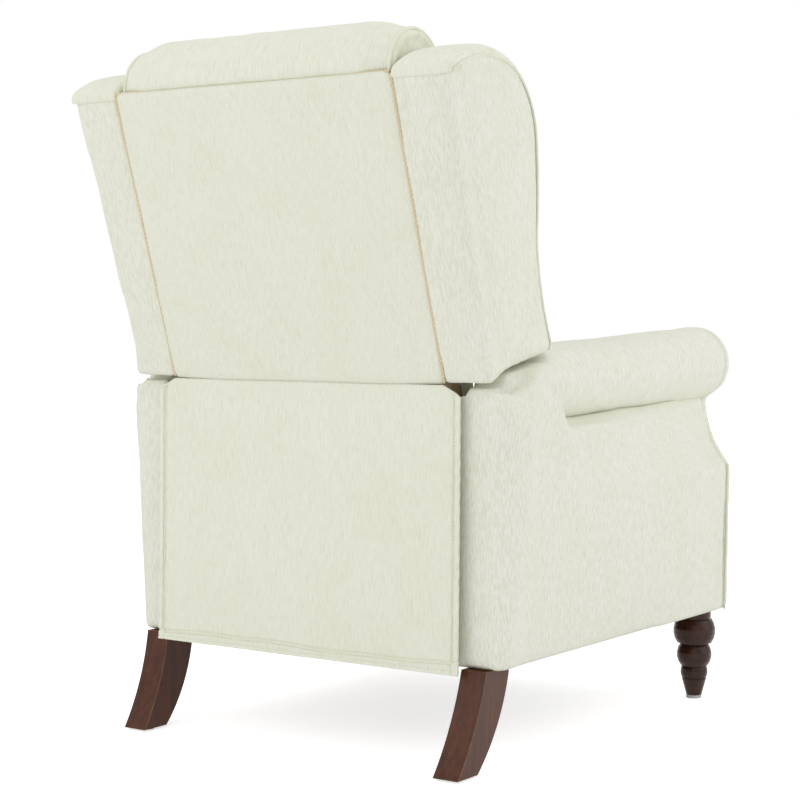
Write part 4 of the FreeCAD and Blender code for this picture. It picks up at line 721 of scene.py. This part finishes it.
def arm_facing():
    """Scroll-shaped front panel with a welt round its edge."""
    verts, faces = cad_mesh(["arm_facing_left"])
    points, faces = remesh(verts, faces, FINE_VOXEL)
    forward = smoothstep(FACING_REAR, FACING_FRONT, points[:, 1])
    points = relax(points, faces, 26, 0.08 + 0.42 * forward)
    forward = smoothstep(FACING_REAR, FACING_FRONT, points[:, 1])
    points[:, 1] -= 2.0 * MM * forward * (0.6 + 0.4 * ripple(points, 0.12, 21))
    points[:, 1] = np.clip(points[:, 1], FACING_FRONT - 3 * MM, FACING_REAR - 0.2 * MM)
    points[:, 2] = np.maximum(points[:, 2], BASE_BOTTOM)
    both_sides("arm_front_panel", points, faces, "base", UPRIGHT, "cream_fabric",
               ("arm_facing",), fill=0.6)
    rim = [[x, z] for x, z in facing_outline()]
    seam = resample([[x, FACING_REAR - 2 * MM, z] for x, z in rim[:2]], 4 * MM)
    both_sides("arm_side_welt", *tube(seam, THIN_WELT_R), "base", UPRIGHT, "cream_fabric")
    path = resample([[x, FACING_FRONT, z] for x, z in rim[:-1]], 4 * MM)
    way = tangents(path)
    inward = np.stack([-way[:, 2], np.zeros(len(way)), way[:, 0]], axis=1)
    path = path + inward * FACING_SEAM_INSET
    both_sides("arm_front_welt", *tube(path, THIN_WELT_R), "base", UPRIGHT, "cream_fabric")


# Back and wings

def rear_panel():
    """Outside back: a thin pad with a soft crown and edges drawn into its seams."""
    columns = np.linspace(-PANEL_HALF, PANEL_HALF, 150)
    rows = np.linspace(0, BACK_HEIGHT, 130)
    grid = np.array([[x, a, 0.0] for a in rows for x in columns])
    aside = PANEL_HALF - np.abs(grid[:, 0])
    above = BACK_HEIGHT - grid[:, 1]
    under = grid[:, 1]
    lift = 3.2 * MM * smoothstep(0, 90 * MM, aside) + 2.6 * MM * smoothstep(0, 9 * MM, aside)
    lift += 2.5 * MM * smoothstep(0, 10 * MM, under) - 2.0 * MM * (1 - smoothstep(0, 8 * MM, above))
    lift += 0.8 * MM * ripple(grid, 0.2, 31) + 0.3 * MM * ripple(grid, 0.06, 32)
    front = np.array([on_back(x, a, 4 * MM - l) for (x, a, _), l in zip(grid, lift)])
    back = np.array([on_back(x, a, 8 * MM) for x, a, _ in grid])
    points, faces = closed_sheet(front, back, len(rows), len(columns))
    obj = dress(mesh_piece("outside_back", points, faces), OUTSIDE_BACK)
    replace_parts(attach(obj, "back"), "rear_panel")


def back_seam_shade():
    """Tan tubes laid in the seams round the outside back as painted shade, standing for the warm shade deep
    in the seams.
    """
    heights = np.linspace(2 * MM, BACK_HEIGHT - 4 * MM, 90)
    side = [on_back(PANEL_HALF + 1.2 * MM, a, 3.0 * MM) for a in heights]
    both_sides("back_side_seam_shade", *tube(side, SEAM_R), "back", SEAM_SHADE_TAN, "cream_fabric")
    top = [on_back(x, BACK_HEIGHT - 1 * MM, 3.2 * MM) for x in np.linspace(-PANEL_HALF, PANEL_HALF, 90)]
    obj = dress(mesh_piece("back_top_seam_shade", *tube(top, SEAM_R)), SEAM_SHADE_TAN)
    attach(obj, "back")


def closed_sheet(front, back, rows, columns):
    """Two grids of points joined round their edges."""
    count = rows * columns
    faces = rings_to_faces(rows, columns, closed=False)
    faces = [f[::-1] for f in faces] + [[i + count for i in f] for f in faces]
    rim = [c for c in range(columns)]
    rim += [r * columns + columns - 1 for r in range(1, rows)]
    rim += [(rows - 1) * columns + c for c in range(columns - 2, -1, -1)]
    rim += [r * columns for r in range(rows - 2, 0, -1)]
    for a, b in zip(rim, rim[1:] + rim[:1]):
        faces.append([a, b, b + count, a + count])
    return np.concatenate([front, back]), faces


def head_roll():
    """Pillow over the top of the back, with a welt round each end."""
    verts, faces = cad_mesh(["head_roll"])
    points, faces = remesh(verts, faces)
    points = relax(points, faces, 4)
    outward = normals_of(points, faces)
    swell = 1.0 * MM * ripple(points, 0.15, 41) + 0.4 * MM * ripple(points, 0.05, 42)
    points = points + outward * swell[:, None]
    centre = np.array([0.0, HEAD_ROLL_Y, ROLL_TOP - HEAD_ROLL_R])
    reach = np.hypot(points[:, 1] - centre[1], points[:, 2] - centre[2])
    end = smoothstep(ROLL_HALF - 9 * MM, ROLL_HALF - 2 * MM, np.abs(points[:, 0]))
    sunk = 5 * MM * (1 - smoothstep(HEAD_ROLL_R - 22 * MM, HEAD_ROLL_R - 6 * MM, reach))
    points[:, 0] -= np.sign(points[:, 0]) * end * sunk
    points = taper_end(points, centre)
    obj = dress(mesh_piece("head_pillow", points, faces), ACROSS)
    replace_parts(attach(obj, "back"), "head_roll")
    turns = np.linspace(0, 2 * math.pi, 120, endpoint=False)
    radius = HEAD_ROLL_R - 1.0 * MM
    x = ROLL_HALF - 6 * MM
    path = np.array([[x, centre[1] + radius * math.cos(t), centre[2] + radius * math.sin(t)] for t in turns])
    path = taper_end(path, centre)
    welt, faces = tube(path, WELT_R, ring=True)
    both_sides("head_pillow_welt", welt, faces, "back", ACROSS, "cream_fabric")


def taper_end(points, centre):
    """Draw the ends of the head pillow in towards its axis and a little forward."""
    end = smoothstep(ROLL_HALF - HEAD_TAPER_LENGTH, ROLL_HALF, np.abs(points[:, 0]))
    upper = smoothstep(-HEAD_ROLL_R, 0.2 * HEAD_ROLL_R, points[:, 2] - centre[2])
    shrink = 1 - HEAD_TAPER * end * (0.4 + 0.6 * upper)
    points[:, 1] = centre[1] + (points[:, 1] - centre[1]) * shrink - HEAD_TAPER_SHIFT * end * upper
    points[:, 2] = centre[2] + (points[:, 2] - centre[2]) * shrink
    return points


def wing_body():
    """Wing padding and outer cover, softly rounded at its rear corner."""
    verts, faces = cad_mesh(["wing_cover_left", "wing_pad_left", "wing_frame_left"])
    points, faces = remesh(verts, faces)
    along, depth = back_coordinates(points)
    rear = (1 - smoothstep(10 * MM, 45 * MM, depth)) * smoothstep(8 * MM, 60 * MM, along)
    outer = smoothstep(290 * MM, 325 * MM, points[:, 0])
    points = relax(points, faces, 6)
    points = relax(points, faces, 40, 0.5 * rear * outer)
    outward = normals_of(points, faces)
    swell = 0.8 * MM * ripple(points, 0.15, 51) + 0.35 * MM * ripple(points, 0.05, 52)
    side = np.clip(outward[:, 0], 0, 1)
    crown = 2.0 * MM * side * np.sin(np.clip(depth / 0.2, 0, 1) * math.pi)
    hollow = 4.0 * MM * outer * smoothstep(8 * MM, 60 * MM, along)
    crown -= hollow * np.exp(-((depth - 26 * MM) / (13 * MM)) ** 2)
    points = points + outward * (swell + crown)[:, None]
    both_sides("wing_body", points, faces, "back", WING, "cream_fabric",
               ("wing_cover", "wing_pad"), fill=0.7)


def wing_edge():
    """The wing's edge from its rear face over the top and down the front to the tip, as (y, z)."""
    lip = on_back(0, BACK_HEIGHT + 3 * MM - CAP_LIP, 0)
    edge = [(lip[1], lip[2]), placed(WING_REAR_TOP)]
    for way, end in WING_ARCS:
        edge += bent(edge[-1], placed(way), placed(end), 3 * MM)
    return edge


def placed(point):
    """A place given in millimetres from the rear face of the posts, in metres."""
    return (REAR + point[0] * MM, point[1] * MM)


def eased(points, rounds, pitch):
    """A plane line of (y, z) points as even steps in 3-D, its corners eased."""
    path = resample([[0, y, z] for y, z in points], pitch)
    for _ in range(rounds):
        path[1:-1] += 0.5 * ((path[:-2] + path[2:]) / 2 - path[1:-1])
    return resample(path, pitch)


def wing_sides(y, z):
    """Inner and outer x of the wing at a place on its edge."""
    depth = (BACK_FOOT.y - y) * math.cos(BACK_LEAN) + (z - BACK_FOOT.z) * math.sin(BACK_LEAN)
    flare = min(max((depth - WING_TURN_DEPTH) / (WING_DEPTH - WING_TURN_DEPTH), 0), 1)
    inner = WING_INNER_REAR_X + flare * (WING_INNER_FRONT_X - WING_INNER_REAR_X)
    outer = WING_OUTER_LOW_X + (z - BACK_FOOT.z) * WING_OUTER_SLOPE
    return inner, outer


def wing_cap():
    """Inner cloth that turns over the wing's edge and ends in a welt on its outer side."""
    path = eased(wing_edge(), 10, 3 * MM)
    way = tangents(path)
    outward = np.stack([np.zeros(len(path)), way[:, 2], -way[:, 1]], axis=1)
    run = np.linspace(0, 1, len(path))
    points, welt = [], []
    for here, normal, share in zip(path, outward, run):
        inner, outer = wing_sides(here[1], here[2])
        close = min(0.5 + share / 0.008, 1) * min((1 - share) / 0.012, 1)
        drop = CAP_LIP - (CAP_LIP - CAP_FRONT_LIP) * smoothstep(0.12, 0.4, share)
        section = cap_section(inner / MM, outer / MM, drop / MM, close)
        points += [here + normal * rise + np.array([x, 0, 0]) for x, rise in section]
        welt.append(here - normal * drop + np.array([outer + 1.3 * MM, 0, 0]))
    columns = len(section)
    faces = rings_to_faces(len(path), columns)
    faces += [list(range(columns))[::-1], [len(points) - columns + k for k in range(columns)]]
    for cap in both_sides("wing_cap", np.array(points), faces, "back", ACROSS, "cream_fabric"):
        cap.modifiers.new("finer", "SUBSURF").levels = 1
    both_sides("wing_welt", *tube(resample(welt, 4 * MM), THIN_WELT_R), "back", ACROSS, "cream_fabric")


def cap_section(inner, outer, drop, close):
    """Closed section of the cap as (x, rise); close draws it in at the cap's two ends."""
    middle = (inner + outer) / 2
    puff = 1 + 3.2 * close
    over = [(outer + 0.6, -drop), (outer + 0.4 + 1.4 * close, -0.6 * drop), (outer - 0.4 + close, -3),
            (outer - 4, puff - 2.4), (outer - 13, puff - 0.9), (middle, puff),
            (inner + 13, puff - 0.9), (inner + 4, puff - 2.4), (inner + 0.4 - close, -3),
            (inner - 0.4 - 1.2 * close, -8), (inner - 0.4, -14)]
    under = [(inner + 4, -14), (inner + 8, -4), (middle, -2), (outer - 8, -4), (outer - 3, -drop)]
    return [(x * MM, rise * MM) for x, rise in over + under]


# Cushions

def swell_cloth(points, faces, cap, name):
    """Inflate a closed mesh as cloth, with no point moved further than the cap."""
    obj = mesh_piece(name + "_work", points, faces)
    cloth = obj.modifiers.new("cloth", "CLOTH")
    cloth.settings.use_pressure = True
    cloth.settings.uniform_pressure_force = CLOTH_PRESSURE
    cloth.settings.quality = 5
    cloth.settings.effector_weights.gravity = 0.0
    cloth.collision_settings.use_collision = False
    cloth.point_cache.frame_end = CLOTH_FRAMES
    for step in range(1, CLOTH_FRAMES + 1):
        bpy.context.scene.frame_set(step)
    evaluated = obj.evaluated_get(bpy.context.evaluated_depsgraph_get())
    made = bpy.data.meshes.new_from_object(evaluated)
    moved, _ = arrays(made)
    bpy.data.objects.remove(obj)
    bpy.data.meshes.remove(made)
    bpy.context.scene.frame_set(1)
    shift = moved - points
    reach = np.linalg.norm(shift, axis=1)
    return points + shift * np.minimum(1, cap / np.maximum(reach, 1e-9))[:, None]


def cushion(name, nodes, allow, seed):
    """Remeshed and inflated cushion in the place of CAD nodes; allow says how far each point may move."""
    verts, faces = cad_mesh(nodes)
    points, faces = remesh(verts, faces, CUSHION_VOXEL)
    points = relax(points, faces, 5)
    outward = normals_of(points, faces)
    reach = allow(points, outward)
    moved = swell_cloth(points - outward * CUSHION_SHRINK, faces, CLOTH_CAP, name)
    shift = moved - points
    length = np.linalg.norm(shift, axis=1)
    points = points + shift * np.minimum(1, reach / np.maximum(length, 1e-9))[:, None]
    points = relax(points, faces, 2)
    soft = np.clip(reach / (10 * MM), 0, 1)
    swell = 1.1 * MM * ripple(points, 0.12, seed) + 0.5 * MM * ripple(points, 0.04, seed + 1)
    return points + normals_of(points, faces) * (swell * soft)[:, None], faces


def seat_cushion():
    """Seat pad: flat underneath and against the arms, crowned on top and over its front."""
    def allow(points, outward):
        top = np.clip(outward[:, 2], 0, 1)
        front = np.clip(-outward[:, 1], 0, 1)
        near = np.minimum(SEAT_HIGH.x - np.abs(points[:, 0]), SEAT_HIGH.y - points[:, 1])
        return 1.0 * MM + 11 * MM * np.maximum(top * smoothstep(0, 60 * MM, near), 0.35 * front)

    points, faces = cushion("seat_pad", ["seat_cushion"], allow, 71)
    points[:, 0] = np.clip(points[:, 0], SEAT_LOW.x, SEAT_HIGH.x)
    points[:, 2] = np.maximum(points[:, 2], SEAT_LOW.z)
    show_cushion("seat_pad", points, faces, "seat", "seat_cushion")


def show_cushion(name, points, faces, body, node):
    obj = dress(mesh_piece(name, points, faces), ACROSS)
    obj.modifiers.new("finer", "SUBSURF").levels = 1
    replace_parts(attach(obj, body), node)


def back_cushion():
    """Inside back: two pillows with a sewn channel between them."""
    low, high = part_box("back_cushion")

    def allow(points, outward):
        front = np.clip(-outward[:, 1], 0, 1)
        near = high.x - np.abs(points[:, 0])
        along, _ = back_coordinates(points)
        away = smoothstep(4 * MM, 30 * MM, np.abs(along - BACK_SEAM))
        return 1.0 * MM + 10 * MM * front * smoothstep(0, SWELL_START, near) * (0.15 + 0.85 * away)

    points, faces = cushion("back_pad", ["back_cushion"], allow, 81)
    points = pucker_seam(points)
    points[:, 0] = np.clip(points[:, 0], low.x, high.x)
    show_cushion("back_pad", points, faces, "back", "back_cushion")


def seat_gusset():
    """Cloth that joins the rear of the seat pad to the lower edge of the inside back."""
    half = SEAT_HIGH.x - 4 * MM
    start = np.array([0, SEAT_HIGH.y - 6 * MM, SEAT_HIGH.z - 42 * MM])
    end = on_back(0, -104 * MM, 86 * MM)
    columns = np.linspace(-half, half, 60)
    rows = np.linspace(0, 1, 16)
    sag = [-14 * MM * math.sin(math.pi * t) for t in rows]
    top = np.array([start + (end - start) * t + [x, 0, drop] for t, drop in zip(rows, sag) for x in columns])
    top[:, 2] += 1.2 * MM * ripple(top, 0.05, 95)
    points, faces = closed_sheet(top, top - np.array([0, 0, 4 * MM]), len(rows), len(columns))
    obj = dress(mesh_piece("seat_gusset", points, faces), PLAIN)
    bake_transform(obj)


def pucker_seam(points):
    """Draw the cloth into the channel with small gathers along it."""
    along, depth = back_coordinates(points)
    across = points[:, 0]
    gap = along - BACK_SEAM
    gathers = 0.5 + 0.5 * np.sin(across * 2 * math.pi / 0.021 + 2.2 * np.sin(across * 31))
    fan = np.exp(-(np.abs(gap) / (26 * MM)) ** 1.5) * (1 - np.exp(-(gap / (5 * MM)) ** 2))
    press = 5 * MM * np.exp(-(gap / (4 * MM)) ** 2) + 1.8 * MM * gathers * fan
    front = smoothstep(90 * MM, 115 * MM, depth)
    points[:, 1] += press * front * math.cos(BACK_LEAN)
    points[:, 2] -= press * front * math.sin(BACK_LEAN)
    return points


def footrest_pad():
    low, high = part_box("footrest_pad")

    def allow(points, outward):
        front = np.clip(-outward[:, 1], 0, 1)
        upright = np.minimum(high.z - points[:, 2], points[:, 2] - low.z)
        near = np.minimum(high.x - np.abs(points[:, 0]), upright)
        return 0.8 * MM + 8 * MM * front * smoothstep(0, SWELL_START, near)

    points, faces = cushion("footrest_cover", ["footrest_pad"], allow, 91)
    points[:, 1] = np.minimum(points[:, 1], high.y)
    show_cushion("footrest_cover", points, faces, "footrest", "footrest_pad")


# Rear flap

def flap_half(z):
    """Half width of the flap at a height; its top corners are cut."""
    half = FLAP_HIGH.x
    if z < FLAP_HIGH.z - FLAP_CUT_HEIGHT:
        return half
    return half - FLAP_CUT_WIDTH * (z - FLAP_HIGH.z + FLAP_CUT_HEIGHT) / FLAP_CUT_HEIGHT


def flap_surface(grid):
    """Places on the outer face of the flap, with its fall, slack, hems and their grooves."""
    fall = (FLAP_HIGH.z - grid[:, 2]) / (FLAP_HIGH.z - FLAP_LOW.z)
    across = grid[:, 0] / FLAP_HIGH.x
    sway = 0.9 * MM * ripple(grid * np.array([1, 0, 0.35]), 0.16, 61) * smoothstep(0, 0.3, fall)
    edge = FLAP_HIGH.x - np.abs(grid[:, 0])
    foot = grid[:, 2] - FLAP_LOW.z
    pucker = 0.6 * MM * np.sin(grid[:, 2] * 2 * math.pi / 0.022) * (1 - smoothstep(0, 22 * MM, edge))
    line = hem_line(grid[:, 0])
    hem = 1.7 * MM * (1 - smoothstep(HEM - 1.2 * MM, HEM, edge))
    hem = np.maximum(hem, 2.0 * MM * (1 - smoothstep(line - 1.2 * MM, line, foot)))
    hem -= 2.2 * MM * np.exp(-((edge - HEM - 1.0 * MM) / (1.5 * MM)) ** 2)
    hem -= 2.4 * MM * np.exp(-((foot - line - 1.0 * MM) / (1.8 * MM)) ** 2)
    hem -= 1.4 * MM * np.exp(-((foot - 4.5 * MM) / (1.3 * MM)) ** 2)
    y = REAR + 14 * MM + 6 * MM * fall + 3.0 * MM * fall * (1 - across ** 2)
    return np.stack([grid[:, 0], y + sway + pucker + hem, grid[:, 2]], axis=1)


def hem_line(x):
    """Height of the bottom hem's seam above the flap's edge."""
    return BOTTOM_HEM + 1.5 * MM * np.sin(x * 17) + 0.8 * MM * np.sin(x * 41)


def flap_stitches():
    """Rows of thread along the side hems and the bottom hem."""
    x = FLAP_HIGH.x - HEM + 1.5 * MM
    heights = np.linspace(FLAP_LOW.z + BOTTOM_HEM, FLAP_HIGH.z - 16 * MM, 60)
    widths = np.linspace(-x, x, 90)
    rows = [[[side * x, 0, z] for z in heights] for side in (-1, 1)]
    rows.append([[w, 0, FLAP_LOW.z + hem_line(w) - 2 * MM] for w in widths])
    parts = []
    for row in rows:
        path = flap_surface(np.array(row))
        parts.append(stitches(path + np.array([0, 0.2 * MM, 0]), np.array([0, 0.5 * MM, 0])))
    obj = dress(mesh_piece("flap_stitches", *join(parts)), THREAD)
    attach(obj, "flap")


def rear_flap():
    """Loose cloth hung from the back's lower edge, hemmed at its sides and foot."""
    height = FLAP_HIGH.z - FLAP_LOW.z
    hems = np.linspace(0.93, 1, 18)
    columns = np.concatenate([np.linspace(-1, -0.93, 18), np.linspace(-0.92, 0.92, 110), hems])
    rows = np.concatenate([np.linspace(0, 22 * MM, 20), np.linspace(26 * MM, height, 90)])
    rows = rows + FLAP_LOW.z
    grid = np.array([[c * flap_half(z), 0.0, z] for z in rows for c in columns])
    outer = flap_surface(grid)
    inner = outer - np.array([0, 3.0 * MM, 0])
    points, faces = closed_sheet(outer, inner, len(rows), len(columns))
    obj = dress(mesh_piece("rear_flap_cloth", points, faces), PLAIN)
    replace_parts(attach(obj, "flap"), "rear_flap")


# Springs

def return_springs():
    """Coils with hooks, stretched between the cross member and the lever of the torque tube."""
    low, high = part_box("return_springs")
    radius = (high.z - low.z) / 2 - SPRING_WIRE
    start, end = low.y + SPRING_HOOK, high.y - SPRING_HOOK
    for side, name in ((-1, "spring_coil_right"), (1, "spring_coil_left")):
        centre = np.array([side * SPRING_X, 0.0, (low.z + high.z) / 2])
        coil = []
        for t in np.linspace(0, 1, SPRING_TURNS * 14 + 1):
            turn = t * SPRING_TURNS * 2 * math.pi
            ring = [radius * math.cos(turn), start + t * (end - start), radius * math.sin(turn)]
            coil.append(centre + np.array(ring))
        first = [spring_hook(centre, low.y, 1, radius, a) for a in np.linspace(-2.6, 1.2, 12)]
        last = [spring_hook(centre, high.y, -1, radius, a) for a in np.linspace(-1.2, 2.6, 12)]
        points, faces = tube(first + coil + last, SPRING_WIRE, 7)
        obj = dress(mesh_piece(name, points, faces), ZINC)
        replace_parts(obj, "return_springs")
        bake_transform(obj)


def spring_hook(centre, y, way, radius, turn):
    """Place on the hook at an end of a spring; way is +1 where the hook opens towards +Y."""
    along = y + way * (SPRING_WIRE + 0.5 * SPRING_HOOK * (1 - math.cos(turn)) * 0.5)
    return centre + np.array([0, along, -way * radius * 0.6 * math.sin(turn)])


# Stage

LAMPS = (
    ("side_softbox", (-3.2, -0.9, 1.7), (0, 0, 0.5), 2.6, 21),
    ("rear_softbox", (0.9, 3.4, 1.9), (0, 0, 0.5), 2.6, 22),
    ("top_softbox", (0, 0, 3.4), (0, 0, 0), 3.0, 8),
)
AMBIENT = 0.72
FLOOR_HALF = 12.0
FLOOR_GLOW = 0.66


def area_light(name, place, aim, size, power):
    light = bpy.data.lights.new(name, "AREA")
    light.shape = "RECTANGLE"
    light.size, light.size_y = size
    light.energy = power
    obj = link(bpy.data.objects.new(name, light))
    obj.location = place
    obj.rotation_mode = "QUATERNION"
    obj.rotation_quaternion = (Vector(aim) - Vector(place)).to_track_quat("-Z", "Y")


def studio():
    for name, place, aim, side, power in LAMPS:
        area_light(name, place, aim, (side, side), power)
    world = bpy.data.worlds.new("studio")
    bpy.context.scene.world = world
    world.use_nodes = True
    tree = world.node_tree
    shown = tree.nodes["Background"]
    shown.inputs["Color"].default_value = (1, 1, 1, 1)
    shown.inputs["Strength"].default_value = 1.0
    ambient = node(tree, "ShaderNodeBackground")
    ambient.inputs["Color"].default_value = (0.98, 0.99, 1, 1)
    ambient.inputs["Strength"].default_value = AMBIENT
    chosen = node(tree, "ShaderNodeMixShader")
    path = node(tree, "ShaderNodeLightPath")
    seen = maths(tree, "MAXIMUM", path.outputs["Is Camera Ray"], path.outputs["Is Glossy Ray"])
    seen = maths(tree, "MAXIMUM", seen, path.outputs["Is Transmission Ray"])
    tree.links.new(seen, chosen.inputs["Fac"])
    tree.links.new(ambient.outputs[0], chosen.inputs[1])
    tree.links.new(shown.outputs[0], chosen.inputs[2])
    tree.links.new(chosen.outputs[0], tree.nodes["World Output"].inputs["Surface"])


def floor():
    """Pale floor that keeps the chair's shadow and shows white to the camera."""
    signs = ((-1, -1), (1, -1), (1, 1), (-1, 1))
    corners = [(x * FLOOR_HALF, y * FLOOR_HALF, 0) for x, y in signs]
    obj = mesh_piece("floor", corners, [[0, 1, 2, 3]])
    material, tree, bsdf = shader("floor_paper")
    grain = noise(tree, (3, 3, 3), 2.0)
    colour = ramp(tree, grain, [(0.3, (0.90, 0.90, 0.90)), (0.7, (0.93, 0.93, 0.93))])
    tree.links.new(colour, bsdf.inputs["Base Color"])
    bsdf.inputs["Roughness"].default_value = 0.8
    path = node(tree, "ShaderNodeLightPath")
    seen = maths(tree, "MAXIMUM", path.outputs["Is Camera Ray"], path.outputs["Is Glossy Ray"])
    glow = maths(tree, "MULTIPLY", seen, FLOOR_GLOW)
    tree.links.new(glow, bsdf.inputs["Emission Strength"])
    bsdf.inputs["Emission Color"].default_value = (1, 1, 1, 1)
    obj.data.materials.append(material)


def camera():
    data = bpy.data.cameras.new("photo_camera")
    data.lens = CAMERA_LENS
    data.sensor_width = 36.0
    obj = link(bpy.data.objects.new("photo_camera", data))
    obj.location = CAMERA_PLACE
    level = math.cos(CAMERA_DIP)
    aim = Vector((math.sin(CAMERA_TURN) * level, -math.cos(CAMERA_TURN) * level, -math.sin(CAMERA_DIP)))
    obj.rotation_mode = "QUATERNION"
    obj.rotation_quaternion = aim.to_track_quat("-Z", "Y")
    bpy.context.scene.camera = obj
    bpy.context.scene.view_settings.view_transform = "Standard"


camera()
studio()
floor()
finish_cad_nodes()
arm_cover()
arm_roll()
arm_facing()
rear_panel()
back_seam_shade()
wing_body()
wing_cap()
head_roll()
seat_cushion()
back_cushion()
seat_gusset()
footrest_pad()
rear_flap()
flap_stitches()
return_springs()
